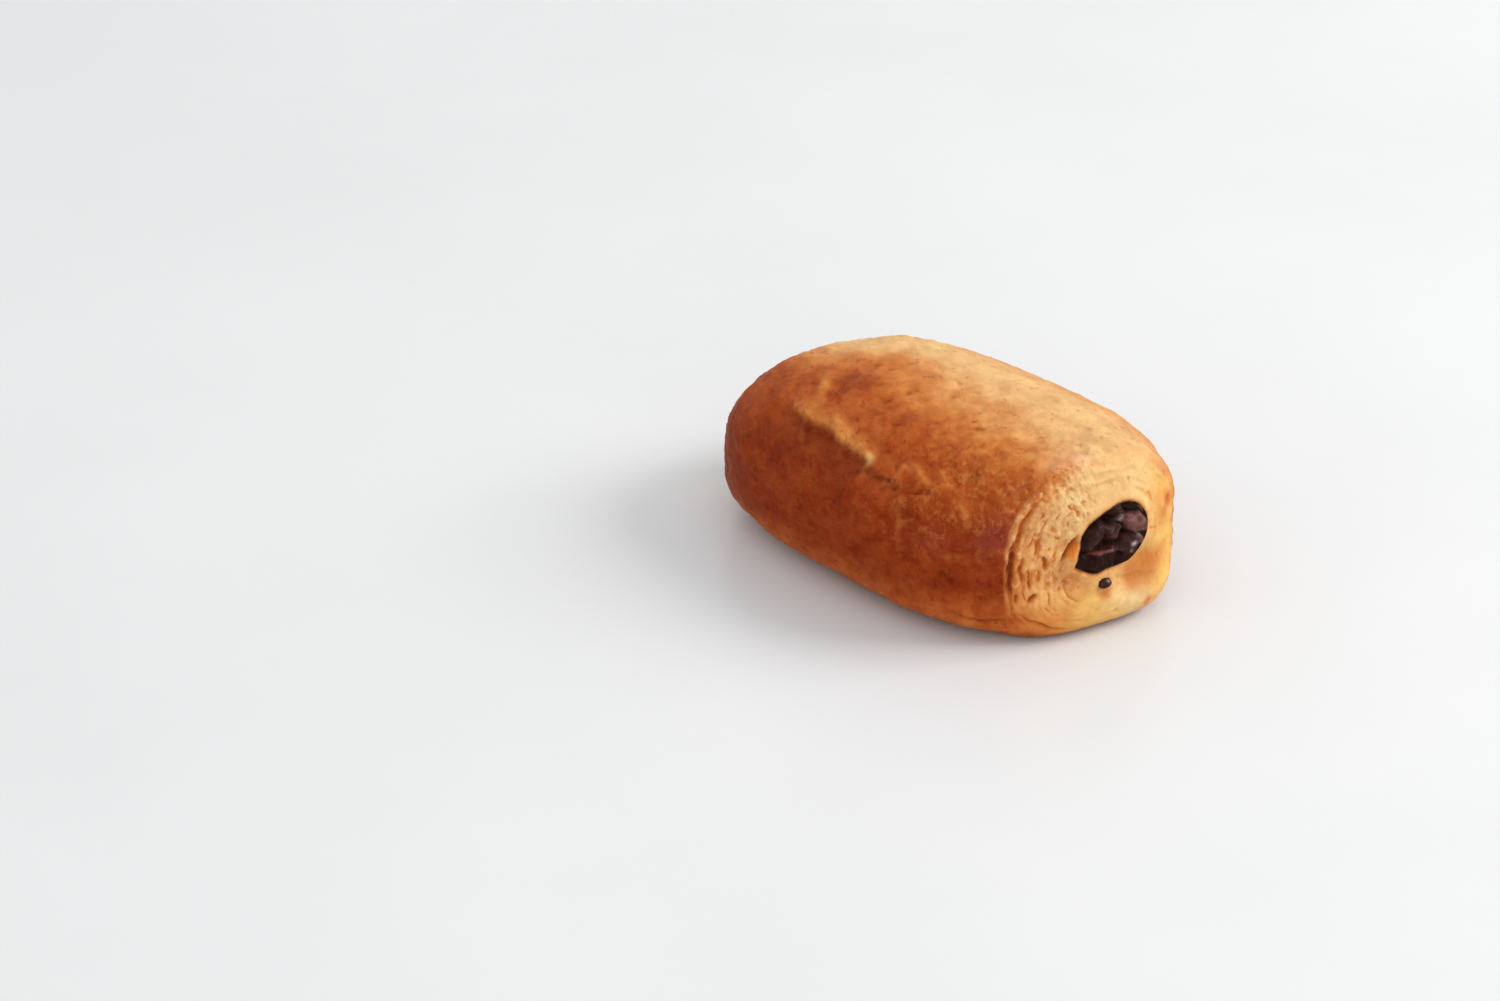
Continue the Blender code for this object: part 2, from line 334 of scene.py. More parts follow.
def roll_section(along, angle):
    """Return points of the side at a share of the half length and an angle round the section."""
    cosine = np.cos(angle)
    sine = np.sin(angle)
    upper = sine >= 0
    rounding = np.where(upper, UPPER_ROUNDING, LOWER_ROUNDING)
    across = rounded(cosine, rounding)
    left = blend_stations(LEFT_REACH, along, WIDTH_TAPER_POWER)
    right = blend_stations(RIGHT_REACH, along, WIDTH_TAPER_POWER)
    top = blend_stations(TOP_HEIGHT, along, TOP_TAPER_POWER)
    base = blend_stations(BASE_HEIGHT, along, BASE_TAPER_POWER)
    waist_share = (LEFT_WAIST + RIGHT_WAIST + (RIGHT_WAIST - LEFT_WAIST) * across) / 2
    waist = base + waist_share * (top - base)
    slant = NEAR_SLANT * across + NEAR_BASE_SLANT * np.maximum(-sine, 0)
    x = along * SIDE_LENGTH / 2 + slant * np.maximum(along, 0) ** SLANT_POWER
    y = np.where(cosine < 0, left, right) * across
    z = waist + np.where(upper, top - waist, waist - base) * rounded(sine, rounding)
    return np.stack([x, y, z], axis=-1)


def end_centre(side):
    """Return the middle of the rim at the far (-1) or near (+1) end."""
    index = 0 if side < 0 else 2
    across = (RIGHT_REACH[index] - LEFT_REACH[index]) / 2
    height = (TOP_HEIGHT[index] + BASE_HEIGHT[index]) / 2
    return np.array([side * SIDE_LENGTH / 2, across, height])


def around(keys, values):
    """Return a function that looks values up by an angle."""
    order = np.argsort(keys)
    sorted_keys = keys[order]
    sorted_values = values[order]
    return lambda angle: np.interp(angle, sorted_keys, sorted_values, period=TURN)


def end_profile(side):
    """Return a function from a place on an end to its x, its direction and how far inside the rim it lies."""
    angle = np.linspace(0, TURN, ANGLE_SAMPLES, endpoint=False)
    centre = end_centre(side)
    spoke = roll_section(np.full(angle.shape, float(side)), angle) - centre
    polar = np.mod(np.arctan2(spoke[:, 2], spoke[:, 1]), TURN)
    fuller = np.maximum(np.cos(angle - FULL_DOME_DIRECTION), 0) ** 2 * (side > 0)
    reach_at = around(polar, np.hypot(spoke[:, 1], spoke[:, 2]))
    rim_at = around(polar, spoke[:, 0])
    power_at = around(polar, DOME_POWER + (FULL_DOME_POWER - DOME_POWER) * fuller)
    dome = NEAR_DOME if side > 0 else FAR_DOME

    def profile(across, height):
        direction = np.mod(np.arctan2(height - centre[2], across - centre[1]), TURN)
        out = np.hypot(height - centre[2], across - centre[1]) / reach_at(direction)
        out = np.minimum(out, 1)
        x = centre[0] + rim_at(direction) * out + side * dome * (1 - out ** power_at(direction))
        return x, direction, (1 - out) * reach_at(direction)

    return profile


NEAR_PROFILE = end_profile(1)
FAR_PROFILE = end_profile(-1)


def band_centre(x):
    """Return the middle of the chocolate band, across and in height, at x."""
    share = (x - BAND_FAR_X) / (BAND_NEAR_X - BAND_FAR_X)
    across = BAND_FAR_CENTRE[0] + share * (BAND_NEAR_CENTRE[0] - BAND_FAR_CENTRE[0])
    height = BAND_FAR_CENTRE[1] + share * (BAND_NEAR_CENTRE[1] - BAND_FAR_CENTRE[1])
    return across, height


def band_point(x, radius, angle, grow=0, uneven=0):
    """Return the place across, the height, and the place in the band's own axes."""
    wide = BAND_HALF_WIDTH * rounded(np.cos(angle), BAND_ROUNDING)
    tall = BAND_HALF_HEIGHT * rounded(np.sin(angle), BAND_ROUNDING)
    reach = np.hypot(wide, tall)
    degrees = [shift[0] for shift in OUTLINE_SHIFTS]
    shifts = [shift[1] for shift in OUTLINE_SHIFTS]
    outside = np.interp(np.degrees(np.arctan2(tall, wide)), degrees, shifts, period=360)
    stretch = radius * (1 + (grow + uneven * outside) / reach)
    wide = wide * stretch
    tall = tall * stretch
    across, height = band_centre(x)
    y = across + wide * math.cos(BAND_TILT) - tall * math.sin(BAND_TILT)
    z = height + wide * math.sin(BAND_TILT) + tall * math.cos(BAND_TILT)
    return y, z, wide, tall


def even_angles():
    """Return section angles evenly spaced round the middle of the roll, sparser under the base."""
    angle = np.linspace(0, TURN, 10 * ANGLE_SAMPLES + 1)
    points = roll_section(np.zeros(angle.shape), angle)
    lengths = np.linalg.norm(np.diff(points, axis=0), axis=1)
    under = smooth_step(points[1:, 2], *BASE_SPARSE)
    lengths = lengths / (1 + (BASE_SPACING - 1) * under)
    travelled = np.concatenate([[0], np.cumsum(lengths)])
    wanted = np.linspace(0, travelled[-1], SEGMENTS, endpoint=False)
    return np.interp(wanted, travelled, angle)


def band_opening(side, rim):
    """Return the opening in an end, one point on the way to each point of the rim."""
    x = BAND_NEAR_X if side > 0 else BAND_FAR_X
    centre_y, centre_z = band_centre(x)
    uneven = 1 if side > 0 else 0
    y, z, _, _ = band_point(x, 1, np.linspace(0, TURN, 2 * ANGLE_SAMPLES, endpoint=False), 0, uneven)
    polar = np.mod(np.arctan2(z - centre_z, y - centre_y), TURN)
    reach_at = around(polar, np.hypot(y - centre_y, z - centre_z))
    direction = np.arctan2(rim[:, 2] - centre_z, rim[:, 1] - centre_y)
    reach = reach_at(np.mod(direction, TURN))
    return centre_y + reach * np.cos(direction), centre_z + reach * np.sin(direction)


class Surface:
    """The grid of the visual roll, rings by segments, with what each point knows of its place."""

    NEAR, SIDE, FAR, CHANNEL = 1, 0, -1, 2

    def __init__(self):
        self.angle = even_angles()
        self.rows = []
        self.add_end(1, np.linspace(0, 1, NEAR_RINGS + 1))
        spread = np.linspace(1, -1, SIDE_RINGS + 1)[1:-1]
        for along in spread * (1 + END_CROWDING) - END_CROWDING * spread ** 3:
            section = roll_section(np.full(SEGMENTS, along), self.angle)
            self.add(section, self.SIDE, along, 0, NO_GAP, 0)
        self.add_end(-1, np.linspace(1, 0, FAR_RINGS + 1))
        first = self.rows[-1][0]
        last = self.rows[0][0]
        for share in np.linspace(0, 1, CHANNEL_RINGS + 2)[1:-1]:
            self.add(first + (last - first) * share, self.CHANNEL, 0, 0, 0, 0)
        names = ("points", "zone", "along", "direction", "gap", "inset")
        for index, name in enumerate(names):
            setattr(self, name, np.array([row[index] for row in self.rows]))
        self.angles = np.broadcast_to(self.angle, self.zone.shape)
        self.soften_rims()
        self.points[..., 2] = np.maximum(self.points[..., 2], 0)
        self.normals = self.find_normals()

    def add(self, points, *values):
        """Add a ring, with its zone, share along, direction, gap to the opening and inset from the rim."""
        spread = [np.broadcast_to(np.asarray(value, float), (SEGMENTS,)) for value in values]
        self.rows.append([points, *spread])

    def add_end(self, side, shares):
        """Add the rings of an end between the opening and the rim."""
        rim = roll_section(np.full(SEGMENTS, float(side)), self.angle)
        open_y, open_z = band_opening(side, rim)
        width = np.hypot(rim[:, 1] - open_y, rim[:, 2] - open_z)
        profile = NEAR_PROFILE if side > 0 else FAR_PROFILE
        for share in shares:
            y = open_y + (rim[:, 1] - open_y) * share
            z = open_z + (rim[:, 2] - open_z) * share
            x, direction, inset = profile(y, z)
            self.add(np.stack([x, y, z], axis=-1), side, side, direction, width * share, inset)

    def soften_rims(self):
        """Round the edge between the side and each end, least at the left of the near end."""
        beside = np.mod(self.angle - CRISP_DIRECTION + math.pi, TURN) - math.pi
        near_amount = 1 - CRISP_SHARE * bell(beside / CRISP_HALF_WIDTH)
        near = (NEAR_RINGS, NEAR_SOFTENING, near_amount)
        far = (NEAR_RINGS + SIDE_RINGS, FAR_SOFTENING, np.ones(SEGMENTS))
        for row, reach, amount in (near, far):
            low = row - reach
            high = row + reach + 1
            window = bell((np.arange(low, high) - row) / (reach * SOFTENING_SHARE))
            window = window[:, None] * amount[None, :]
            for _ in range(SOFTENING_PASSES):
                block = self.points[low - 1:high + 1]
                mean = (block[:-2] + block[2:]) / 2
                self.points[low:high] += 0.5 * window[..., None] * (mean - self.points[low:high])

    def find_normals(self):
        """Return unit normals facing out, from the neighbours on the grid."""
        down = np.roll(self.points, -1, axis=0) - np.roll(self.points, 1, axis=0)
        beside = np.roll(self.points, -1, axis=1) - np.roll(self.points, 1, axis=1)
        normal = np.cross(down, beside)
        # At the two lips the surface turns sharply, so the face's own direction counts there
        normal[0] = normal[1]
        last_face = NEAR_RINGS + SIDE_RINGS + FAR_RINGS - 1
        normal[last_face] = normal[last_face - 1]
        return normal / np.maximum(np.linalg.norm(normal, axis=-1), 1e-9)[..., None]


# Near end. Its measures "first" and "second" are the place across and the height. Each cut has its
# line of corners there, half-width, depth, how brown it is inside, which is partly painted shade, and
# how its ends thin. The first four are the grooves between the outer layers, the others are slits.
DEEP_GROOVE = ((-20.9, 29), (-21.6, 26.6), (-22.2, 22), (-22.3, 16), (-22.1, 12), (-21.8, 9.8))
CUTS = (
    (DEEP_GROOVE, 0.56, 2.4, 1, 0.3, 0.35),
    (((-14, 38.2), (-17.4, 35), (-19.8, 31.4), (-20.9, 28), (-21.2, 24)), 0.48, 1.2, 0.85, 0.35),
    (((-22, 9.4), (-21, 7.2), (-19.2, 5.4)), 0.42, 0.9, 0.7),
    (((-21.4, 9.2), (-19.3, 7.1), (-16.7, 5.4), (-13.6, 3.9), (-10, 3.1)), 0.5, 0.8, 0.9),
    (((-21.2, 14.2), (-21.2, 11.2)), 0.5, 0.9, 1),
    (((-20.1, 24.5), (-20.4, 20), (-20, 15.6)), 0.46, 1, 0.85),
    (((-18.9, 20.5), (-18.8, 14.6)), 0.36, 0.9, 0.9),
    (((-19.2, 11.6), (-17.2, 13.9)), 0.6, 1, 1),
    (((-15.9, 23.4), (-15.5, 19.6)), 0.7, 0.9, 0.9),
    (((-14.2, 19.8), (-13.6, 15.6)), 0.3, 0.5, 0.4),
    (((-17, 28.2), (-17.9, 23.4)), 0.4, 0.8, 0.75),
    (((-17.2, 20.2), (-16.9, 16.2)), 0.36, 0.7, 0.7),
    (((-12.2, 16.8), (-11, 12.6), (-9, 10.6)), 0.3, 0.5, 0.4),
    (((-8.9, 28.2), (-9.9, 26.2), (-12.6, 21.8)), 0.62, 2.3, 1),
)
FLAP_LINE = ((-8.9, 26.2), (-9.9, 24), (-10.8, 21.8))
FLAP_HALF_WIDTH = 0.85
POCKET_EDGE = ((1, 15.2), (5, 12.9), (9.5, 11.9), (15.5, 11.9))
POCKET_EDGE_HALF_WIDTH = 1.2
POCKET_EDGE_TAPER = 0.4
LINE_WOBBLE = 0.3
LINE_JITTER = 0.12
LAYER_CUT_SHADE_BROWN = 0.75
# How far apart the layers, streaks and thin stripes lie, and how much noise bends them
NEAR_LAYERS = (1.45, 0.35, 0.5)
STREAKS = (2.4, 0.45)
STRIPES = (1.15, 0.5)
FLAKE_SQUEEZE = (0.6, 1.25, 0.8)
NEAR_NOISES = {
    "drift": (2.4, 11),
    "jitter": (0.9, 13),
    "shift": (2.6, 12),
    "waves": (7, 14),
    "tears": (3, 15, 1, 0.5, (1, 1, 0.45)),
    "streak_waves": (6, 16),
    "streak_places": (6.5, 18),
    "crumb": (1.7, 21, 3, 0.6, FLAKE_SQUEEZE),
    "grain": (2.2, 24, 2, 0.5, FLAKE_SQUEEZE),
    "pores": (1.5, 31, 2, 0.4, FLAKE_SQUEEZE),
    "swells": (5, 41),
    "lumps": (2, 42),
    "dents": (2.2, 51, 2, 0.4),
    "flake_places": (1.5, 17, 2),
    "rim_lumps": (2.1, 43, 2),
    "shreds": (1.3, 19, 2, 0.6, (1, 1, 0.7)),
    "mottle": (2.4, 111, 3, 0.6),
    "broad": (8, 114),
    "stripe_waves": (4, 112),
    "stripe_places": (4.5, 113),
}
NEAR_MASKS = {
    # The layers of dough show as thin broken steps beside the groove
    "layer_cut": [
        step("layer_steps", 0.42, 0), step("tears", -0.15, 0.35), step("inset", 1.8, 3),
        step("inset", 13, 8), step("first", -5, -14, 0.06), step("second", 6, 14, 0.25),
    ],
    # The rough, flaky part of the face lies to the upper left
    "upper_left": [total((0.28, "second"), (-1, "first"))],
    "flaky": [step("upper_left", 10.28, 18.28), step("second", 9, 18), step("gap", 1.2, 3)],
    "firm": [total((1,), (-1, "flaky"))],
    "holes": [step("pores", 0.34, 0.66), total((0.06,), (0.94, "flaky"))],
    # Shallow streaks follow the layers elsewhere, with a dimple here and there
    "streak": ["streak_wave", step("streak_places", -0.2, 0.5)],
    "dimples": [step("dents", 0.55, 0.85), "firm"],
    # The hollow beside the chocolate has a soft shelf below it
    "pocket": [patch(9, 14.8, 7.9, 6.1)],
    # Dough laps over the chocolate at the upper left
    "over_band": [total((1, "second"), (-0.8, "first"))],
    "lap": [band("gap", 1, 1.4), step("over_band", 18, 25)],
    # Flakes stand up along the rim at the upper left, and the rim is uneven at the lower right
    "flakes": [
        step("flake_places", 0.1, 0.55), band("inset", 0.4, 1.3),
        step("first", 6, -2), step("second", 16, 26),
    ],
    "uneven": [band("inset", 0, 1.8), step("first", 2, 10), step("second", 34, 26)],
    # The torn edge of the crust is crumbly down the left
    "torn": [band("inset", 1.5, 2.6), step("first", -3, -10), step("second", 10, 20)],
    # Places that only the colours need
    "edge": [total((1, "gap"), (0.25, "mottle"))],
    "leftward": [total((1.5, "mottle"), (-1, "first"))],
    "left": [step("leftward", 5, 17.5), step("second", 31, 24, 0.25)],
    "stripe": [
        "stripe_wave", step("first", -9, -15), step("stripe_places", -0.1, 0.4), step("second", 7, 14, 0.3),
    ],
    "crest": [total((1, "crumb"), (0.4, "ridged"))],
    "pocket_inside": [total((1, "pocket"), (0.08, "mottle"))],
}
# Each height of the relief is in millimetres
NEAR_RELIEF = total(
    (-0.6, "layer_cut"),
    (0.17, "flaky", "crumb"),
    (0.1, "flaky", "ridged"),
    (-0.42, "holes"),
    (0.2, "streak", step("second", 27, 34, 0.3), total((1,), (-0.6, "flaky")), step("gap", 1.5, 4)),
    (0.22, "swells"),
    (0.09, "lumps"),
    (-0.3, "dimples", step("gap", 0.8, 2)),
    (-1.9, "pocket"),
    (-0.35, "brink"),
    (0.55, "lap"),
    (0.8, "flap"),
    (0.35, "flakes"),
    (0.38, "uneven", "rim_lumps"),
    (0.34, "torn", "shreds"),
)


def near_relief(surface):
    """Return the relief of the near end and the measures that colour it."""
    _, across, height = np.moveaxis(surface.points, -1, 0)
    measures = {"first": across, "second": height, "inset": surface.inset, "gap": surface.gap}
    add_noises(measures, surface.points, NEAR_NOISES)
    y = across + LINE_WOBBLE * measures["drift"] + LINE_JITTER * measures["jitter"]
    z = height + LINE_WOBBLE * measures["shift"]
    spacing, drift, waves = NEAR_LAYERS
    phase = surface.inset / spacing + drift * measures["drift"] + waves * measures["waves"]
    measures["layer_steps"] = layer_steps(phase)
    for name, (spacing, waves) in (("streak", STREAKS), ("stripe", STRIPES)):
        bent = surface.inset / spacing + waves * measures[name + "_waves"]
        measures[name + "_wave"] = np.cos(TURN * bent)
    measures["ridged"] = ridges(measures["grain"])
    measures["flap"] = line_mark(y, z, FLAP_LINE, FLAP_HALF_WIDTH)
    measures["brink"] = line_mark(across, height, POCKET_EDGE, POCKET_EDGE_HALF_WIDTH, POCKET_EDGE_TAPER)
    add_masks(measures, NEAR_MASKS)
    depth, brown = carve(y, z, CUTS)
    measures["cuts"] = np.maximum(brown, LAYER_CUT_SHADE_BROWN * measures["layer_cut"])
    return NEAR_RELIEF(measures) - depth, measures


# Far end, finished like the near one
FAR_LAYERS = (2.3, 0.45)
FAR_NOISES = {
    "waves": (7, 61),
    "tears": (5, 62),
    "crumb": (1.8, 63, 3, 0.6),
    "grain": (2.4, 66, 2),
    "pores": (1.5, 65, 2, 0.4),
    "swells": (5, 64),
    "mottle": (2.4, 131, 3, 0.6),
    "broad": (8, 134),
}
FAR_MASKS = {
    "cuts": [
        step("layer_steps", 0.45, 0), step("tears", -0.25, 0.35), step("inset", 0.8, 2), step("inset", 13, 8),
    ],
    "holes": [step("pores", 0.35, 0.65)],
}
FAR_RELIEF = total((-0.9, "cuts"), (0.2, "crumb"), (0.1, "ridged"), (-0.4, "holes"), (0.2, "swells"))


def far_relief(surface):
    """Return the relief of the far end and the measures that colour it."""
    measures = {"inset": surface.inset, "gap": surface.gap}
    add_noises(measures, surface.points, FAR_NOISES)
    spacing, waves = FAR_LAYERS
    phase = surface.inset / spacing + waves * measures["waves"] + surface.direction / TURN
    measures["layer_steps"] = layer_steps(phase)
    measures["ridged"] = ridges(measures["grain"])
    add_masks(measures, FAR_MASKS)
    return FAR_RELIEF(measures), measures


# Side. Lines are (share of the half length, degrees round the section) corners. The measures "first"
# and "second" are the place along in millimetres and the degrees round.
FOLD_EDGE = (
    (-0.66, 122), (-0.53, 129), (-0.41, 132), (-0.26, 132.5), (-0.14, 135), (0.01, 137.5), (0.11, 139.5),
)
FOLD_TAIL = ((0.1, 139), (0.17, 142), (0.24, 141), (0.31, 143.5), (0.36, 143.5))
FOLD_REACH = 14
FOLD_END = 4
FOLD_FADE = 12
FLAP_FADE = 11
# A ridge along the fold's edge, which also carries a painted highlight
RIDGE_LINE = (
    (-0.58, 106), (-0.5, 113), (-0.43, 119), (-0.35, 124), (-0.22, 127.5), (-0.08, 130.5), (0.05, 134.5),
    (0.11, 137.5),
)
RIDGE_HALF_WIDTH = 1
RIDGE_TAPER = 0.2
# Each raised line has its corners, half-width, height and how golden it is, the gold being a painted
# highlight
RAISED_LINES = (
    (((-0.62, 102), (-0.54, 108.5), (-0.46, 116)), 1.7, 0.35, 0.75),
    (((0.305, 143), (0.29, 136.5), (0.27, 129.5)), 0.75, 0.4, 0.5),
    (((0.27, 129), (0.33, 130.5), (0.45, 135), (0.51, 137)), 0.8, 0.4, 0.5),
    (((-0.46, 127), (-0.4, 137), (-0.34, 147)), 0.8, 0.3, 0.4),
    (((0.69, 141), (0.7, 144), (0.76, 150.5), (0.826, 159.5)), 0.8, 0.25, 0.7),
    (((0.34, 149), (0.42, 164), (0.46, 180)), 0.6, 0.15, 0.25),
    (((0.52, 158), (0.6, 166), (0.66, 176)), 0.6, 0.15, 0.25),
    (((0.7, 176), (0.76, 174), (0.8, 178)), 1.2, 0.25, 0.35),
)
# Each crease has its corners, half-width, depth and darkness, which is painted shade in the crease
CREASES = (
    (((0.395, 144.5), (0.458, 141.5), (0.525, 140)), 0.75, 0.75, 0.9),
    (((0.69, 180.5), (0.73, 182), (0.775, 181)), 0.75, 0.55, 0.7),
    (((0.74, 202), (0.81, 206), (0.9, 207.5), (0.985, 205)), 0.65, 0.75, 0.75),
    (((0.05, 144.5), (0.12, 144), (0.19, 143), (0.26, 143)), 0.8, 0.45, 0.5),
    (((-0.36, 100), (-0.3, 103.5), (-0.2, 106)), 0.9, 0.2, 0.2),
    (((0.84, 128), (0.9, 126), (0.95, 121)), 0.5, 0.25, 0.3),
)
# Each pit has its place on the side, radius, depth and darkness, which is partly painted shade in the pit
PITS = (
    (-0.137, 95, 1, 0.45, 0.9),
    (-0.15, 104, 1, 0.45, 0.8),
    (0.298, 95, 0.7, 0.4, 0.9),
    (0.371, 97, 0.8, 0.4, 0.8),
    (-0.47, 100, 1.6, 0.35, 0.5),
    (-0.405, 110.5, 2.8, 0.55, 0.6),
    (-0.465, 88.5, 0.8, 0.35, 0.6),
    (-0.39, 88.5, 0.8, 0.35, 0.7),
    (-0.37, 82, 0.6, 0.3, 0.5),
    (0.043, 88.5, 0.8, 0.35, 0.6),
    (-0.037, 81, 0.6, 0.3, 0.5),
    (0.017, 108.5, 1.9, 0.35, 0.4),
    (0.625, 125, 0.9, 0.35, 0.8),
    (0.05, 146, 1.2, 0.45, 0.8),
    (0.258, 142.5, 0.8, 0.6, 1),
    (0.298, 141, 0.6, 0.4, 0.7),
    (0.311, 145.5, 0.9, 0.6, 0.9),
    (0.719, 116.5, 0.8, 0.3, 0.6),
    (0.773, 65, 0.7, 0.3, 0.5),
    (0.86, 112, 0.7, 0.3, 0.7),
)
PIT_DARKNESS = 1.35
# Small pits are strewn over the crust by a seeded draw between these limits
RANDOM_PITS = 260
RANDOM_PIT_SEED = 901
RANDOM_PIT_REACH = 3
RANDOM_PIT_LIMITS = {
    "along": (-0.98, 0.98),
    "round": (-0.55, 3.75),
    "radius": (0.4, 0.8),
    "stretch": (0.7, 1.5),
    "strength": (0.3, 1),
}
# Scattered pits are darkened with painted shade
SCATTER_DARKNESS = 0.6
# How far noise shifts the lines: drift, then jitter
SIDE_WOBBLE = (0.7, 0.25)
SIDE_NOISES = {
    "drift_x": (4, 71),
    "jitter_x": (1.5, 73),
    "drift_arc": (4, 72),
    "jitter_arc": (1.5, 74),
    "edge_waves": (4.6, 75),
    "edge_lumps": (1.9, 76),
    "swells": (15, 84),
    "broad": (17, 101),
}
SKIN_NOISES = {
    "wrinkle_noise": (5.5, 81, 2),
    "fine": (2.4, 85, 2),
    "lumps": (7, 88),
    "mottle": (6, 102, 2, 0.6),
}
SIDE_MASKS = {
    # A fold of dough ends in an edge: it swells above and drops away below
    "above": [total((0.8, "edge_waves"), (0.45, "edge_lumps"), (-1, "fold_side"))],
    "envelope": [step("fold_along", 0, 14), step("fold_left", -0.5, 3)],
    "over": [step("above", -0.5, 0.5)],
    "under": [step("above", 0.5, -0.5)],
    "tail_envelope": [band("tail_side", 0, 3), step("tail_left", 0, 3), step("tail_along", 0, 1.5)],
    "skirt": [step("along", 0.55, 0.85), band("turn", 215, 9)],
}
SIDE_RELIEF = total(
    (1, "swell", "over", "envelope", "beyond"),
    (-1.55, "drop", "under", "envelope", "beyond"),
    (0.35, step("tail_side", 0.6, -0.6), "tail_envelope"),
    (-0.4, "tail_envelope"),
    (0.1, "ridge"),
    (-0.28, "scatter"),
    (0.8, patch(-35.8, 52, 8, 15.28)),
    (0.22, "wrinkle"),
    (0.11, "fine"),
    (0.35, "swells"),
    (0.3, "lumps"),
    (0.55, "skirt"),
)


def scattered_pits(x, arc):
    """Return small pits strewn over the crust."""
    random = np.random.default_rng(RANDOM_PIT_SEED)
    marks = np.zeros(x.shape)
    for _ in range(RANDOM_PITS):
        draws = [random.uniform(*limits) for limits in RANDOM_PIT_LIMITS.values()]
        along, turned, radius, stretch, strength = draws
        beside_x = x - along * HALF_LENGTH
        beside_arc = arc - turned * SIDE_RADIUS
        near = (np.abs(beside_x) < RANDOM_PIT_REACH) & (np.abs(beside_arc) < RANDOM_PIT_REACH)
        gap = np.hypot(beside_x[near] / stretch, beside_arc[near] * stretch) / radius
        marks[near] = np.maximum(marks[near], strength * bell(gap))
    return marks


def side_relief(surface):
    """Return the relief of the crust and the measures that colour it."""
    # Angles past the right-hand side count back from it, so that the unrolled side has no seam in view
    turned = np.where(surface.angles > math.radians(300), surface.angles - TURN, surface.angles)
    x = surface.along * HALF_LENGTH
    measures = {
        "along": surface.along, "turn": np.degrees(surface.angles), "first": x, "second": np.degrees(turned),
    }
    add_noises(measures, surface.points, SIDE_NOISES)
    add_noises(measures, skin_place(surface.points), SKIN_NOISES)
    drift, jitter = SIDE_WOBBLE
    x = x + drift * measures["drift_x"] + jitter * measures["jitter_x"]
    arc = turned * SIDE_RADIUS + drift * measures["drift_arc"] + jitter * measures["jitter_arc"]
    for name, line in (("fold", FOLD_EDGE), ("tail", FOLD_TAIL)):
        signed, travelled, length = line_place(x, arc, on_side(line))
        measures[name + "_side"] = signed
        measures[name + "_along"] = travelled
        measures[name + "_left"] = length - travelled
    measures["below_tail"] = measures["tail_side"] > 0
    add_masks(measures, SIDE_MASKS)
    above = measures["above"]
    measures["beyond"] = bell(np.maximum(np.abs(above) - FOLD_REACH, 0) / FOLD_END)
    measures["drop"] = np.exp(np.minimum(above, 0) / FOLD_FADE)
    measures["swell"] = np.exp(-np.maximum(above, 0) / FLAP_FADE)
    measures["ridge"] = line_mark(x, arc, on_side(RIDGE_LINE), RIDGE_HALF_WIDTH, RIDGE_TAPER)
    measures["scatter"] = scattered_pits(x, arc)
    # The skin is softly wrinkled
    measures["wrinkle"] = ridges(measures["wrinkle_noise"])
    height, measures["raised"] = carve_side(x, arc, RAISED_LINES)
    # Creases and pits are darkened with painted shade
    depth, dark = carve_side(x, arc, CREASES)
    for along, degrees, radius, pit_depth, darkness in PITS:
        mark = bell(np.hypot(x - along * HALF_LENGTH, arc - math.radians(degrees) * SIDE_RADIUS) / radius)
        depth = depth + pit_depth * mark
        dark = np.maximum(dark, PIT_DARKNESS * darkness * mark)
    measures["dark"] = np.maximum(dark, SCATTER_DARKNESS * measures["scatter"])
    return SIDE_RELIEF(measures) + height - depth, measures


# The ends' relief runs a little way round each rim, the lip turns into the channel, and the base is
# smoother where it lay on the tray
RIM_BLEND = 1.3
LIP_DEPTH = 0.45
LIP_WIDTH = 0.5
CHANNEL_RELIEF = 0.25
BASE_RELIEF = 0.25
BASE_LEVELS = (0.3, 3)


def shape_roll(surface):
    """Return the points of the visual roll and the measures of its three stretches."""
    near, near_measures = near_relief(surface)
    far, far_measures = far_relief(surface)
    side, side_measures = side_relief(surface)
    on_side_zone = surface.zone == Surface.SIDE
    shares = [
        np.where(on_side_zone, bell((1 - end * surface.along) * HALF_LENGTH / RIM_BLEND), surface.zone == end)
        for end in (Surface.NEAR, Surface.FAR)
    ]
    side_share = np.where(on_side_zone, 1 - np.maximum(*shares), 0)
    relief = near * shares[0] + far * shares[1] + side * side_share - SKIN_ALLOWANCE
    relief = relief - LIP_DEPTH * bell(surface.gap / LIP_WIDTH) * (surface.zone != Surface.SIDE)
    relief = np.where(surface.zone == Surface.CHANNEL, CHANNEL_RELIEF, relief)
    resting = smooth_step(surface.points[..., 2], *BASE_LEVELS)
    relief = relief * (BASE_RELIEF + (1 - BASE_RELIEF) * resting)
    return surface.points + surface.normals * relief[..., None], near_measures, far_measures, side_measures


# Colours, as linear reflectances
CRUST_TONES_WITH_LIGHT = (
    # degrees round the section from the right-hand side, and the crust's colour there. The golden top
    # holds painted sheen, and the dark left side holds painted shade.
    (-60, (0.4, 0.115, 0.026)),
    (0, (0.44, 0.14, 0.034)),
    (32, (0.57, 0.25, 0.08)),
    (58, (0.68, 0.408, 0.17)),
    (72, (0.66, 0.382, 0.156)),
    (83, (0.6, 0.27, 0.088)),
    (92, (0.51, 0.17, 0.038)),
    (102, (0.43, 0.11, 0.022)),
    (112, (0.37, 0.078, 0.014)),
    (140, (0.34, 0.058, 0.011)),
    (160, (0.27, 0.036, 0.006)),
    (185, (0.26, 0.036, 0.006)),
    (202, (0.43, 0.092, 0.018)),
    (222, (0.47, 0.125, 0.03)),
    (245, (0.42, 0.115, 0.026)),
)
CRUST_PAINTED_SHADE = (0.16, 0.022, 0.008)
PIT_TINT = (0.52, 0.34, 0.26)
CRUST_PURPLE = (0.235, 0.036, 0.026)
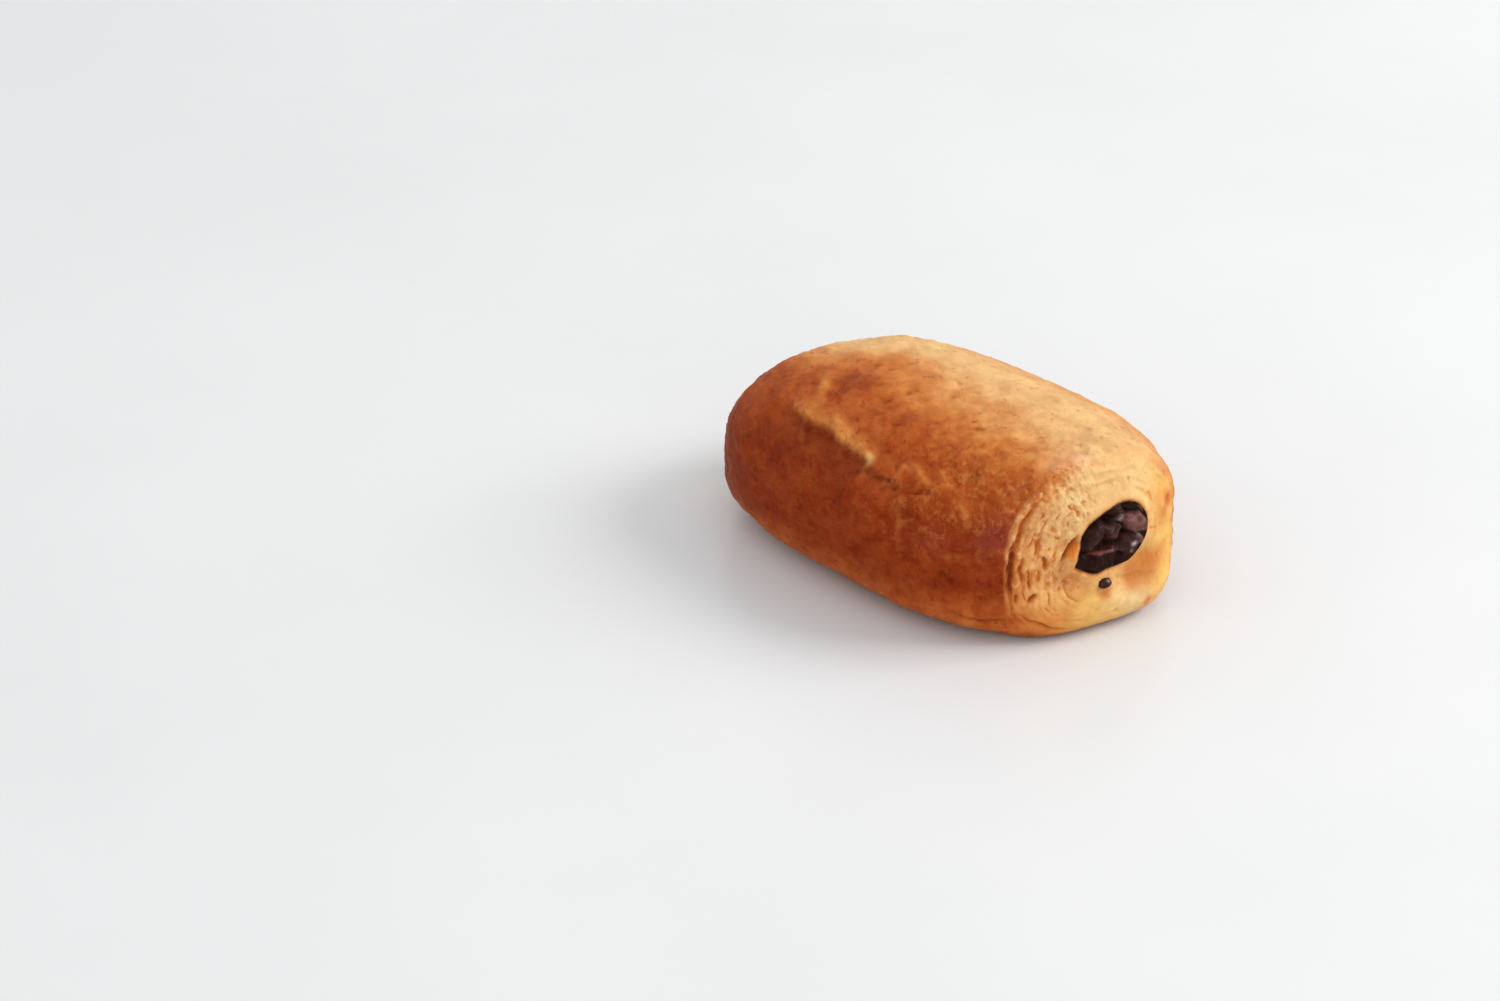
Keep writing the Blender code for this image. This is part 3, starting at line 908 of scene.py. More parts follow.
# Gold of the flecks, also used as painted highlight on ridges
CRUST_GOLD_AND_HIGHLIGHT = (0.66, 0.27, 0.06)
CRUST_PAINTED_LIGHT = (0.54, 0.19, 0.048)
FOLD_TIP_HIGHLIGHT = (0.85, 0.48, 0.16)
BASE_BROWN = (0.42, 0.17, 0.06)
FACE_GOLD = (0.665, 0.425, 0.18)
FACE_CREAM = (0.76, 0.53, 0.26)
FACE_YELLOW = (0.72, 0.4, 0.095)
FACE_AMBER = (0.8, 0.38, 0.11)
FACE_ORANGE = (0.66, 0.23, 0.055)
HOLE_ORANGE = (0.66, 0.21, 0.035)
FLAP_ORANGE = (0.74, 0.24, 0.028)
FACE_RUST = (0.52, 0.15, 0.03)
FACE_DEEP = (0.27, 0.055, 0.01)
FACE_PINK = (0.7, 0.34, 0.19)
POCKET_ORANGE_SHADE = (0.52, 0.19, 0.042)
POCKET_SHADE = (0.4, 0.2, 0.085)
SPOT_BROWN = (0.5, 0.13, 0.035)
MELTED = (0.09, 0.025, 0.01)
DARKEST, PALEST = 0.002, 0.95
# The gold of the top reaches further round towards the rims
TOP_GOLD = [step("second", 60, 80), step("second", 185, 150)]
GOLD_REACH = total(
    (14, "along"),
    (8, step("along", 0.8, 1)),
    (14, step("along", -0.4, -0.8)),
    (5, "broad"),
    (3.5, "mottle"),
)
# How much the mottle changes each channel
CRUST_MOTTLE = (0.07, 0.1, 0.11)
# Each layer has its tint, its strength and the factors that bound it
CRUST_LAYERS = (
    # Painted light on the flap above the fold's edge, painted highlights along the ridge and raised lines,
    # and a painted highlight at the fold's tip
    (CRUST_PAINTED_LIGHT, 1, total((0.8,), (0.3, "mottle")), "envelope", "over", band("above", 0, 5.2)),
    (CRUST_GOLD_AND_HIGHLIGHT, 1, total((0.85,), (0.3, "mottle")), total((0.65, "raised"), (0.2, "ridge"))),
    (FOLD_TIP_HIGHLIGHT, 0.7, patch(4.48, 137.5, 1.2, 3, 0.3)),
    # Painted shade below the fold's edge and under the fold's tail
    (CRUST_PAINTED_SHADE, 1, total(
        (0.58, "envelope", "beyond", "drop", "under"), (0.5, "tail_envelope", "below_tail"),
    )),
    (pitted, 0.38, patch(21.91, 154, 6, 9.615, 0.25)),
    (pitted, 0.4, patch(-20.92, 103, 4, 5.769, 0.25)),
    (CRUST_PURPLE, 1, total((0.8,), (0.4, "mottle")), largest(
        (1, patch(46.31, 161, 5, 13)),
        (0.5, patch(44.82, 128, 3, 9)),
        (0.45, patch(30.88, 166, 6, 9)),
    )),
    (FACE_PINK, 0.55, patch(46.81, 98, 4, 10.577, 0.3)),
    # Painted shade, darker towards the far lower left
    (CRUST_PAINTED_SHADE, 0.3, step("along", -0.15, -0.8), step("second", 128, 150), step("second", 230, 200)),
    # Painted shade in the creases and pits
    (pitted, 0.72, "dark"),
    (BASE_BROWN, 1, step("level", 1.6, 0.3), total((0.9,), (0.2, "mottle"))),
)


def crust_colour(surface, measures):
    """Return the colour of the crust at every point."""
    measures["level"] = surface.points[..., 2]
    degrees = np.where(measures["turn"] > 270, measures["turn"] - 360, measures["turn"])
    key = degrees - GOLD_REACH(measures) * product(measures, TOP_GOLD)
    stops = [stop for stop, _ in CRUST_TONES_WITH_LIGHT]
    colour = np.stack([
        np.interp(key, stops, [shade[channel] for _, shade in CRUST_TONES_WITH_LIGHT]) for channel in range(3)
    ], axis=-1)
    colour = colour * (1 + measures["mottle"][..., None] * np.array(CRUST_MOTTLE))
    return paint(colour, measures, CRUST_LAYERS)


# How thick the golden flecks and the mottling are, and how far inside the near rim and the far rim
# they fade into those of the end
FLECKS = total((0.08,), (0.38, step("turn", 85, 112), step("turn", 185, 145), step("along", 0.05, 0.6)))
MOTTLING = total((0.38,), (0.57, step("turn", 72, 110)))
FACE_MOTTLING = total((0.35,), (0.35, "flaky"))
CRUST_SPECKS = 0.55
FACE_SPECKS = 0.1
NEAR_STRIP = 1.2
FAR_STRIP = 4.5


def texture_strength(surface, side_measures, near_measures):
    """Return how thick the golden flecks, the mottling and the dark specks are, at every point."""
    strip = np.where(surface.zone == Surface.NEAR, NEAR_STRIP, FAR_STRIP)
    face = np.where(surface.zone == Surface.SIDE, 0, smooth_step(surface.inset / strip, 0, 1))
    crust = (FLECKS(side_measures), MOTTLING(side_measures), CRUST_SPECKS)
    inside = (0, FACE_MOTTLING(near_measures), FACE_SPECKS)
    return np.stack([outer + (inner - outer) * face for outer, inner in zip(crust, inside)], axis=-1)


# Each spot has its place on the near face, radius and strength. Most are browned spots, and three are painted
# shade below the chocolate and in the hollow beside it.
NEAR_SPOTS_AND_SHADE = (
    (19.3, 29.3, 2, 1),
    (17.6, 26.6, 2.4, 0.55),
    (14.6, 30.5, 2.6, 0.45),
    (-9.9, 17.3, 2.2, 0.75),
    (-7.7, 14.2, 2.2, 0.45),
    (11.1, 5.4, 1.5, 0.9),
    (-2.4, 11.7, 1.5, 0.8),
    # Painted shade below the chocolate's lower right edge
    (5.9, 12.3, 2.2, 0.4),
    (-2.2, 14.3, 2.3, 0.55),
    (14.1, 24.3, 2.1, 0.4),
    # Painted shade deepening the hollow beside the chocolate
    (17, 17, 2.6, 0.45),
    (12.5, 16.5, 3, 0.35),
    (-19.5, 8.4, 2, 0.35),
)
SPOT_WOBBLE = 0.3
NEAR_FACE_LAYERS = (
    (FACE_YELLOW, 0.8, step("second", 20, 12), step("first", 7, 0)),
    (FACE_CREAM, 0.8, patch(4, 9.5, 6, 4.5)),
    (FACE_YELLOW, 0.85, step("first", 8, 17), step("second", 40, 32)),
    (FACE_CREAM, 0.5, patch(8.7, 6.2, 4, 2.2)),
    (FACE_CREAM, 1, total((0.25, "mottle"), (0.14, "streak"), (0.3, "streak", step("second", 28, 34)))),
    (FACE_AMBER, 1, total((0.85, "left"), (0.15, "broad"))),
    (FACE_ORANGE, 0.78, step("first", -4, -16), step("second", 13, 6)),
    (FACE_CREAM, 0.28, "stripe"),
    (FACE_ORANGE, -0.8, "stripe"),
    # Crumbs are pale and pinkish, the little holes between them rust
    (FACE_CREAM, 0.55, "flaky", step("crest", 0.15, 0.9)),
    (FACE_PINK, 0.5, "flaky", "left", step("ridged", 0.3, 0.9)),
    (FACE_RUST, 0.45, "flaky", step("crumb", -0.1, -0.8)),
    (HOLE_ORANGE, 0.85, "holes"),
    (FACE_ORANGE, 0.4, "dimples"),
    # The torn edge of the crust shades the rim
    (FACE_ORANGE, 0.6, band("inset", 1.2, 1.8), step("first", -6, -14), step("second", 18, 24)),
    (FACE_ORANGE, 0.85, band("inset", 1, 3.4), step("first", -8, -15), step("second", 32, 25, 0.4)),
    (FACE_CREAM, 0.7, "torn", step("shreds", 0.15, 0.7)),
    (FACE_RUST, 0.7, "torn", step("shreds", -0.15, -0.7)),
    # Darker orange in the hollow beside the chocolate, partly painted shade
    (POCKET_ORANGE_SHADE, 0.95, step("pocket_inside", 0.15, 0.85)),
    (POCKET_SHADE, 0.32, "brink"),
    # Browner and darker inside the cuts, partly painted shade
    (FACE_ORANGE, 1, step("cuts", 0.05, 0.5)),
    (FACE_RUST, 0.9, step("cuts", 0.3, 0.9)),
    (FACE_DEEP, 0.85, step("cuts", 0.7, 1)),
    (FLAP_ORANGE, 0.95, "flap"),
    (FACE_PINK, 0.4, "flakes"),
    *((SPOT_BROWN, weight, patch(y, z, radius, radius, SPOT_WOBBLE)) for y, z, radius, weight in NEAR_SPOTS_AND_SHADE),
    # Melted chocolate has stained the dough next to the band
    (FACE_ORANGE, 0.75, band("edge", 0, 1.3)),
    (MELTED, 0.9, band("edge", 0, 0.55)),
)
FAR_FACE_LAYERS = (
    (FACE_AMBER, 1, total((0.55,), (0.45, "broad"))),
    (FACE_ORANGE, 0.5, band("inset", 0, 3)),
    (FACE_CREAM, 1, total((0.35, "mottle"), (0.3, "crumb"))),
    # Rust in the cuts, partly painted shade, and in the holes
    (FACE_RUST, 1, total((0.8, "cuts"), (0.5, "holes"))),
    (MELTED, 0.9, band("gap", 0, 0.45)),
)
# The crust's colour runs a little way over each rim, with a ragged edge. It stops short at the left
# of the near end, and the edge is sharper there and at the top.
RAGGED = (3.2, 121, 3, 0.6)
RAGGED_NEAR = 1.1
RAGGED_FAR = 2.2
RIM_MASKS = {
    "left": [step("across", -8, -19), step("height", 6, 12)],
    "ragged_part": [total((1,), (-0.8, "left"))],
    "overlap": [total((1.6,), (-1.5, "left"))],
    "upper": [step("height", 27, 34), total((1,), (-1, "left"))],
    "blur": [total((2.6,), (-2, "left"), (-1.3, "upper"))],
}


def roll_colour(surface, near_measures, far_measures, side_measures):
    """Return the colour of every point of the roll."""
    points = surface.points
    gold = np.broadcast_to(np.array(FACE_GOLD), points.shape)
    near = paint(gold, near_measures, NEAR_FACE_LAYERS)
    far = paint(gold, far_measures, FAR_FACE_LAYERS)
    rim = {"across": points[..., 1], "height": points[..., 2]}
    add_masks(rim, RIM_MASKS)
    ragged = np.where(surface.along < 0, RAGGED_FAR, RAGGED_NEAR) * noise(points, *RAGGED)
    outside = (1 - np.abs(surface.along)) * HALF_LENGTH
    distance = np.where(surface.zone == Surface.SIDE, -outside, surface.inset) + ragged * rim["ragged_part"]
    inward = smooth_step(distance, rim["overlap"] - rim["blur"], rim["overlap"] + rim["blur"])
    near_side = (surface.zone == Surface.NEAR) | ((surface.zone == Surface.SIDE) & (surface.along > 0))
    colour = mix(crust_colour(surface, side_measures), near, np.where(near_side, inward, 0))
    colour = mix(colour, far, np.where(near_side, 0, inward))
    colour = np.where((surface.zone == Surface.CHANNEL)[..., None], np.array(MELTED), colour)
    return np.clip(colour, DARKEST, PALEST)


# Form of the chocolate. Each chunk of the broken face has its place along and across the band, its
# half-sizes, how far it stands out, how it leans along and across the band, and how pale it is. The
# paleness is matt plum that is partly painted highlight.
CHUNKS = (
    (6.8, -2.8, 2.4, 3.1, 1.2, 0.26, -0.12, 1.00),
    (1.9, -5.3, 2.8, 1.9, 1.5, 0.05, -0.28, 0.16),
    (1.5, 1, 2.5, 2.4, 1.4, 0.12, 0.08, 0.22),
    (-5.2, -2, 4.5, 2.8, 1.2, -0.02, -0.18, 0),
    (-3.2, 4, 4.8, 2.4, 0.8, -0.06, 0.26, 0.06),
    (5.4, 4.2, 2.2, 1.9, 1.3, 0.1, 0.34, 0.08),
    (8.7, 1.9, 1.7, 2.3, 0.7, 0.22, 0.1, 0.08),
    # This small pale chunk is a painted glint
    (4.5, 2.7, 0.9, 0.8, 2, 0.1, -0.2, 0.75),
    (-9, 0.9, 2.2, 2, 0.1, -0.05, 0.00, 0),
    (4.4, -6.2, 1.2, 1, 1.3, 0.1, -0.3, 0.55),
)
CHUNK_SIDES = 6
CHUNK_FLAT = 0.72
CHUNK_SLOPE = 1.5
CHUNK_PALE_END = 1.15
CHUNK_TWIST = 0.25
CHUNK_SPREAD = (0.85, 1.15)
BETWEEN_CHUNKS = -0.9
# Each hollow has its place along and across the band, its radius and its depth
HOLLOWS = (
    (3.4, -1.6, 1.3, 2.6),
    (2.6, 3.6, 1.2, 2.2),
    (7.2, 1, 0.8, 1.2),
    (8, 3.1, 1.1, 1.5),
    (-0.6, -2.2, 0.7, 1.2),
    (-1.2, -5.2, 0.7, 1.2),
)
# A reddish line along a crease, partly painted highlight
CREASE = ((-6.6, 1.4), (-3.4, -0.9), (-0.2, -3.7))
CREASE_HALF_WIDTH = 0.35
CREASE_DEPTH = 0.4
CREASE_REDNESS = 0.9
# Noise over the broken face: size, seed after the face's own, and height
FACE_DRIFT = (2, 0, 0.3)
FACE_GRAIN = ((1.9, 1, 0.13), (0.8, 2, 0.07))
PALE_CLOUDS = (1.6, 3, 0.5)
PALE_STRENGTH = 0.75
NEAR_SEED = 201
FAR_SEED = 251
EDGE_OVERLAP = 0.35
EDGE_DROP = -0.9
EDGE_PROUD = 0.9
PROUD_SLANT = 1.2
PROUD_REACH = 9
EDGE_POWER = 12
LEVEL_POWER = 3
FACE_SINK = 1
BAND_SEGMENTS = 260
BAND_FACE_RINGS = 60
BAND_MIDDLE = (-40, 40, 5)
CHOCOLATE_DARK = (0.02, 0.0055, 0.0035)
CHOCOLATE_PLUM_SHEEN = (0.23, 0.1, 0.082)
CHOCOLATE_RED = (0.17, 0.045, 0.04)
# The colour of painted highlights on the chocolate
CHOCOLATE_GLINT_PAINT = (0.42, 0.36, 0.37)
DROP_BROWN = (0.05, 0.018, 0.013)
DROP_RINGS = 42
DROP_SEGMENTS = 72
DROP_SWELL = (0.95, 0.1)
DROP_NOISE = (0.8, 301)
# Where a highlight is painted on the drop, as a direction from its middle, with the painted highlight's
# radius and strength
DROP_GLINT_DIRECTION = (0.75, 0.2, 0.63)
DROP_GLINT_RADIUS = 0.3
DROP_GLINT_STRENGTH = 0.6
# Each painted highlight, a pale glint, has its place along and across the band, its half-sizes and strength
PAINTED_GLINTS = (
    (4.3, 2.9, 0.6, 0.28, 0.75),
    (2.8, -5.7, 0.7, 0.36, 0.9),
    (1.2, -6.2, 0.5, 0.22, 0.4),
    (5.3, -5.6, 0.25, 0.5, 0.5),
    (6.9, -1.2, 0.9, 0.28, 0.22),
    (1.2, 2.2, 0.7, 0.22, 0.22),
    (-0.9, -3.9, 0.4, 0.2, 0.25),
)


def chocolate_relief(wide, tall, seed):
    """Return how far a broken face stands out, how pale it is, and its reddish crease; the paleness and the
    red are partly painted highlight.
    """
    random = np.random.default_rng(seed)
    flat = np.stack([np.full(wide.shape, 1), wide, tall], axis=-1)

    def grain(size, offset, strength):
        return strength * gradient_noise(flat, size, seed + offset)

    drift = grain(*FACE_DRIFT)
    height = np.full(wide.shape, BETWEEN_CHUNKS)
    shade = np.zeros(wide.shape)
    for u, v, half_u, half_v, top, lean_u, lean_v, pale in CHUNKS:
        right = wide - u + drift
        up = tall - v - drift
        metric = np.zeros(wide.shape)
        start = random.uniform(0, TURN)
        for index in range(CHUNK_SIDES):
            facing = start + (index + random.uniform(-CHUNK_TWIST, CHUNK_TWIST)) * TURN / CHUNK_SIDES
            spread = random.uniform(*CHUNK_SPREAD)
            reach = right / half_u * math.cos(facing) + up / half_v * math.sin(facing)
            metric = np.maximum(metric, reach * spread)
        size = math.sqrt(half_u * half_v)
        chunk = top + lean_u * right + lean_v * up - CHUNK_SLOPE * size * np.maximum(metric - CHUNK_FLAT, 0)
        higher = chunk > height
        height = np.where(higher, chunk, height)
        shade = np.where(higher, pale * smooth_step(metric, CHUNK_PALE_END, CHUNK_FLAT), shade)
    for u, v, radius, depth in HOLLOWS:
        hollow = bell(np.hypot(wide - u, tall - v) / radius)
        height = height - depth * hollow
        shade = shade * (1 - hollow)
    crease = line_mark(wide, tall, CREASE, CREASE_HALF_WIDTH)
    height = height - CREASE_DEPTH * crease + sum(grain(*settings) for settings in FACE_GRAIN)
    return height, shade * (PALE_STRENGTH + grain(*PALE_CLOUDS)), crease


def face_colour(wide, tall, shade, crease):
    """Return the colour of a broken face of chocolate, with painted highlights."""
    colour = mix(np.broadcast_to(np.array(CHOCOLATE_DARK), wide.shape + (3,)), CHOCOLATE_PLUM_SHEEN, shade)
    colour = mix(colour, CHOCOLATE_RED, CREASE_REDNESS * crease)
    for along, up, half_along, half_up, strength in PAINTED_GLINTS:
        glint = bell(np.hypot((wide - along) / half_along, (tall - up) / half_up))
        colour = mix(colour, CHOCOLATE_GLINT_PAINT, strength * glint)
    return colour


def build_band():
    """Return the rings of the chocolate band, far face first, with their colours."""
    angle = np.linspace(0, TURN, BAND_SEGMENTS, endpoint=False)
    rows = []
    colours = []

    def add_face(side, shares):
        face_x = BAND_NEAR_X if side > 0 else BAND_FAR_X
        profile = NEAR_PROFILE if side > 0 else FAR_PROFILE
        uneven = 1 if side > 0 else 0
        edge_y, edge_z, _, _ = band_point(face_x, 1, angle, EDGE_OVERLAP, uneven)
        edge_x, _, _ = profile(edge_y, edge_z)
        for share in shares:
            y, z, wide, tall = band_point(face_x, share, angle, EDGE_OVERLAP, uneven)
            wide = wide * side
            lumps, shade, crease = chocolate_relief(wide, tall, NEAR_SEED if side > 0 else FAR_SEED)
            # The edge follows the dough's own surface, and stands proud of it at the lower right
            proud = EDGE_DROP + EDGE_PROUD * smooth_step(wide - PROUD_SLANT * tall, 0, PROUD_REACH)
            outer = share ** LEVEL_POWER
            level = edge_x.mean() * (1 - outer) + (edge_x + side * proud) * outer
            x = level + side * (lumps - FACE_SINK) * (1 - share ** EDGE_POWER)
            rows.append(np.stack([x, y, z], axis=-1))
            colours.append(face_colour(wide, tall, shade, crease))

    add_face(-1, np.linspace(0, 1, BAND_FACE_RINGS + 1)[1:])
    for x in np.linspace(*BAND_MIDDLE):
        y, z, _, _ = band_point(x, 1, angle)
        rows.append(np.stack([np.full(angle.shape, x), y, z], axis=-1))
        colours.append(np.broadcast_to(np.array(CHOCOLATE_DARK), y.shape + (3,)))
    add_face(1, np.linspace(1, 0, BAND_FACE_RINGS + 1)[:-1])
    return np.array(rows), np.array(colours)


def build_drop():
    """Return the rings of the drop and their colours, with a painted highlight."""
    polar = np.linspace(0, math.pi, DROP_RINGS)[1:-1]
    angle = np.linspace(0, TURN, DROP_SEGMENTS, endpoint=False)
    tilt, turn = np.meshgrid(polar, angle, indexing="ij")
    unit = np.stack([-np.cos(tilt), np.sin(tilt) * np.cos(turn), np.sin(tilt) * np.sin(turn)], axis=-1)
    base, lumps = DROP_SWELL
    swell = base + lumps * gradient_noise(unit, *DROP_NOISE)
    points = unit * swell[..., None] * np.array(DROP_HALF_SIZES) + np.array(DROP_CENTRE)
    gleam = bell(np.linalg.norm(unit - np.array(DROP_GLINT_DIRECTION), axis=-1) / DROP_GLINT_RADIUS)
    brown = np.broadcast_to(np.array(DROP_BROWN), points.shape)
    return points, mix(brown, CHOCOLATE_GLINT_PAINT, DROP_GLINT_STRENGTH * gleam)


# Meshes


def row_shift():
    """Return how far the roll's own frame lies from the row frame, from the drop's box."""
    low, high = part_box("chocolate_drop")
    middle = (np.array(low) + np.array(high)) / 2
    return middle / MILLIMETRE - np.array(DROP_CENTRE)


ROW_SHIFT = row_shift()


def to_row(points):
    """Turn millimetres of the roll's frame into metres of the row frame, inside the solids' box."""
    placed = (points + ROW_SHIFT) * MILLIMETRE
    return np.clip(placed, np.array(cad_low), np.array(cad_high))


def store(mesh, name, colours):
    """Store a colour for every vertex of a mesh."""
    layer = mesh.color_attributes.new(name, "FLOAT_COLOR", "POINT")
    opaque = np.concatenate([colours, np.ones((len(colours), 1))], axis=1)
    layer.data.foreach_set("color", opaque.ravel())


def link(name, vertices, faces, colours):
    """Add a smooth mesh object with a colour for every vertex."""
    mesh = bpy.data.meshes.new(name)
    mesh.from_pydata(to_row(vertices).tolist(), [], faces)
    mesh.update()
    mesh.shade_smooth()
    store(mesh, "tone", colours)
    item = bpy.data.objects.new(name, mesh)
    bpy.context.scene.collection.objects.link(item)
    return item


def ring_quads(ring, following, segments):
    """Return the quads between two rings of vertices."""
    segment = np.arange(segments)
    beside = (segment + 1) % segments
    first, second = ring * segments, following * segments
    return np.stack([first + segment, second + segment, second + beside, first + beside], axis=-1).tolist()


def torus_mesh(name, rows, colours):
    """Add a mesh from rings that close on themselves."""
    rings, segments, _ = rows.shape
    faces = []
    for ring in range(rings):
        faces.extend(ring_quads(ring, (ring + 1) % rings, segments))
    return link(name, rows.reshape(-1, 3), faces, colours.reshape(-1, 3))


def capped_mesh(name, rows, colours):
    """Add a mesh from rings that run towards +X, closed with a point at each end."""
    rings, segments, _ = rows.shape
    poles = np.array([rows[0].mean(axis=0), rows[-1].mean(axis=0)])
    vertices = np.concatenate([rows.reshape(-1, 3), poles])
    tones = np.concatenate([colours.reshape(-1, 3), colours[0, :1], colours[-1, :1]])
    faces = []
    for ring in range(rings - 1):
        faces.extend(quad[::-1] for quad in ring_quads(ring, ring + 1, segments))
    last = (rings - 1) * segments
    for segment in range(segments):
        beside = (segment + 1) % segments
        faces.append((rings * segments, beside, segment))
        faces.append((rings * segments + 1, last + segment, last + beside))
    return link(name, vertices, faces, tones)


# Materials. Each ramp is a row of (position, colour) stops, and each noise has its size in
# millimetres, detail and roughness.
PLAIN = (1, 1, 1)
CLOUD_NOISE = (6.5, 3, 0.6)
CLOUDS = ((0.34, (0.84, 0.7, 0.62)), (0.52, PLAIN), (0.68, (1.1, 1.22, 1.25)))
BLOTCH_NOISE = (2.6, 4, 0.65)
BLOTCHES = ((0.34, (0.8, 0.64, 0.55)), (0.52, PLAIN), (0.68, (1.1, 1.22, 1.28)))
SPECK_NOISE = (1.7, 1, 0.5)
SPECKS = ((0.66, PLAIN), (0.72, (0.66, 0.44, 0.36)))
FLECK_NOISE = (2.2, 4, 0.72)
FLECK_RANGE = (0.5, 0.7)
NOISE_RANGE = (0.3, 0.7)
CRUST_ROUGHNESS = (0.36, 0.56)
CRUST_GRAIN = (0.9, 3, 0.55)
CRUST_BUMP = (0.18, 0.4)
CRUST_SHINE = {
    "Specular IOR Level": 0.03,
    "Subsurface Weight": 0.05,
    "Subsurface Radius": (1, 0.4, 0.15),
    "Subsurface Scale": 0.001,
}
BLOOM_NOISE = (1.8, 4, 0.6)
BLOOM = ((0.32, (0.5, 0.45, 0.45)), (0.7, (1.35, 1.32, 1.35)))
GLOSS_NOISE = (1.6, 3, 0.6)
CHOCOLATE_ROUGHNESS = (0.14, 0.46)
CHOCOLATE_GRAIN = (0.7, 4, 0.6)
CHOCOLATE_BUMP = (0.45, 0.3)
CHOCOLATE_SHINE = {"Specular IOR Level": 0.06}
FLOOR_NOISE = (160, 4, 0.55)
FLOOR_SHADES = ((0.3, (0.665, 0.67, 0.675)), (0.6, (0.69, 0.695, 0.7)))
FLOOR_SHINE = {"Roughness": 0.32, "Specular IOR Level": 0.35}


def fill(tree, item, inputs):
    """Give a node's inputs their values or links."""
    for name, value in inputs.items():
        if isinstance(value, bpy.types.NodeSocket):
            tree.links.new(value, item.inputs[name])
        else:
            item.inputs[name].default_value = value


def add_node(tree, kind, output, inputs, **settings):
    """Add a node with settings and inputs, and return one of its outputs."""
    item = tree.nodes.new("ShaderNode" + kind)
    for name, value in settings.items():
        setattr(item, name, value)
    fill(tree, item, inputs)
    return item.outputs[output]


def new_material(name):
    """Return an empty node material, its tree and its shader."""
    material = bpy.data.materials.new(name)
    material.use_nodes = True
    tree = material.node_tree
    tree.nodes.clear()
    shader = tree.nodes.new("ShaderNodeBsdfPrincipled")
    output = tree.nodes.new("ShaderNodeOutputMaterial")
    tree.links.new(shader.outputs["BSDF"], output.inputs["Surface"])
    return material, tree, shader


def noise_value(tree, size, detail, roughness, stretch=1):
    """Return the value of a noise in object space, with lumps of a size in millimetres."""
    place = add_node(tree, "TexCoord", "Object", {})
    slant = {"Vector": place, "Rotation": (0, 0, SKIN_TURN), "Scale": (1, stretch, 1)}
    slanted = add_node(tree, "Mapping", "Vector", slant, vector_type="TEXTURE")
    scale = 1 / (size * MILLIMETRE)
    look = {"Vector": slanted, "Scale": scale, "Detail": detail, "Roughness": roughness}
    return add_node(tree, "TexNoise", "Fac", look)


def ramp(tree, source, stops):
    """Return a colour ramp driven by a value."""
    node = tree.nodes.new("ShaderNodeValToRGB")
    elements = node.color_ramp.elements
    while len(elements) < len(stops):
        elements.new(0.5)
    for element, (position, colour) in zip(elements, stops):
        element.position = position
        element.color = (*colour, 1)
    tree.links.new(source, node.inputs["Fac"])
    return node.outputs["Color"]


def map_range(tree, source, between, to):
    """Return a value rescaled from one range to another."""
    ends = {"From Min": between[0], "From Max": between[1], "To Min": to[0], "To Max": to[1]}
    return add_node(tree, "MapRange", "Result", {"Value": source, **ends})


def multiply(tree, first, second):
    """Return the product of two colours."""
    return add_node(tree, "VectorMath", "Vector", {0: first, 1: second}, operation="MULTIPLY")


def blend(tree, factor, first, second):
    """Return a mix of two colours."""
    return add_node(tree, "MixRGB", "Color", {"Fac": factor, "Color1": first, "Color2": second})


def stored(tree, name):
    """Return a colour stored on the mesh."""
    return add_node(tree, "VertexColor", "Color", {}, layer_name=name)


def grain(tree, height, strength, distance):
    """Return the normals of a fine grain."""
    look = {"Strength": strength, "Distance": distance * MILLIMETRE, "Height": height}
    return add_node(tree, "Bump", "Normal", look)


def baked_material():
    """Return the baked dough: stored colours with mottling and golden flecks."""
    material, tree, shader = new_material("baked_dough")

    def skin_noise(settings):
        return noise_value(tree, *settings, SKIN_STRETCH)

    parts = tree.nodes.new("ShaderNodeSeparateColor")
    fill(tree, parts, {"Color": stored(tree, "texture")})
    blotches = skin_noise(BLOTCH_NOISE)
    colour = stored(tree, "tone")
    mottled = multiply(tree, colour, ramp(tree, skin_noise(CLOUD_NOISE), CLOUDS))
    mottled = multiply(tree, mottled, ramp(tree, blotches, BLOTCHES))
    colour = blend(tree, parts.outputs["Green"], colour, mottled)
    specked = multiply(tree, colour, ramp(tree, skin_noise(SPECK_NOISE), SPECKS))
    colour = blend(tree, parts.outputs["Blue"], colour, specked)
    flecks = map_range(tree, skin_noise(FLECK_NOISE), FLECK_RANGE, (0, 1))
    flecks = add_node(tree, "Math", "Value", {0: flecks, 1: parts.outputs["Red"]}, operation="MULTIPLY")
    fill(tree, shader, {
        "Base Color": blend(tree, flecks, colour, (*CRUST_GOLD_AND_HIGHLIGHT, 1)),
        "Roughness": map_range(tree, blotches, NOISE_RANGE, CRUST_ROUGHNESS),
        "Normal": grain(tree, skin_noise(CRUST_GRAIN), *CRUST_BUMP),
        **CRUST_SHINE,
    })
    return material


def chocolate_material():
    """Return set dark chocolate with a soft gloss."""
    material, tree, shader = new_material("dark_chocolate")
    bloom = ramp(tree, noise_value(tree, *BLOOM_NOISE), BLOOM)
    fill(tree, shader, {
        "Base Color": multiply(tree, stored(tree, "tone"), bloom),
        "Roughness": map_range(tree, noise_value(tree, *GLOSS_NOISE), NOISE_RANGE, CHOCOLATE_ROUGHNESS),
        "Normal": grain(tree, noise_value(tree, *CHOCOLATE_GRAIN), *CHOCOLATE_BUMP),
        **CHOCOLATE_SHINE,
    })
    return material


def floor_material():
    """Return a pale, slightly glossy floor."""
    material, tree, shader = new_material("pale_floor")
    shade = ramp(tree, noise_value(tree, *FLOOR_NOISE), FLOOR_SHADES)
    fill(tree, shader, {"Base Color": shade, **FLOOR_SHINE})
    return material


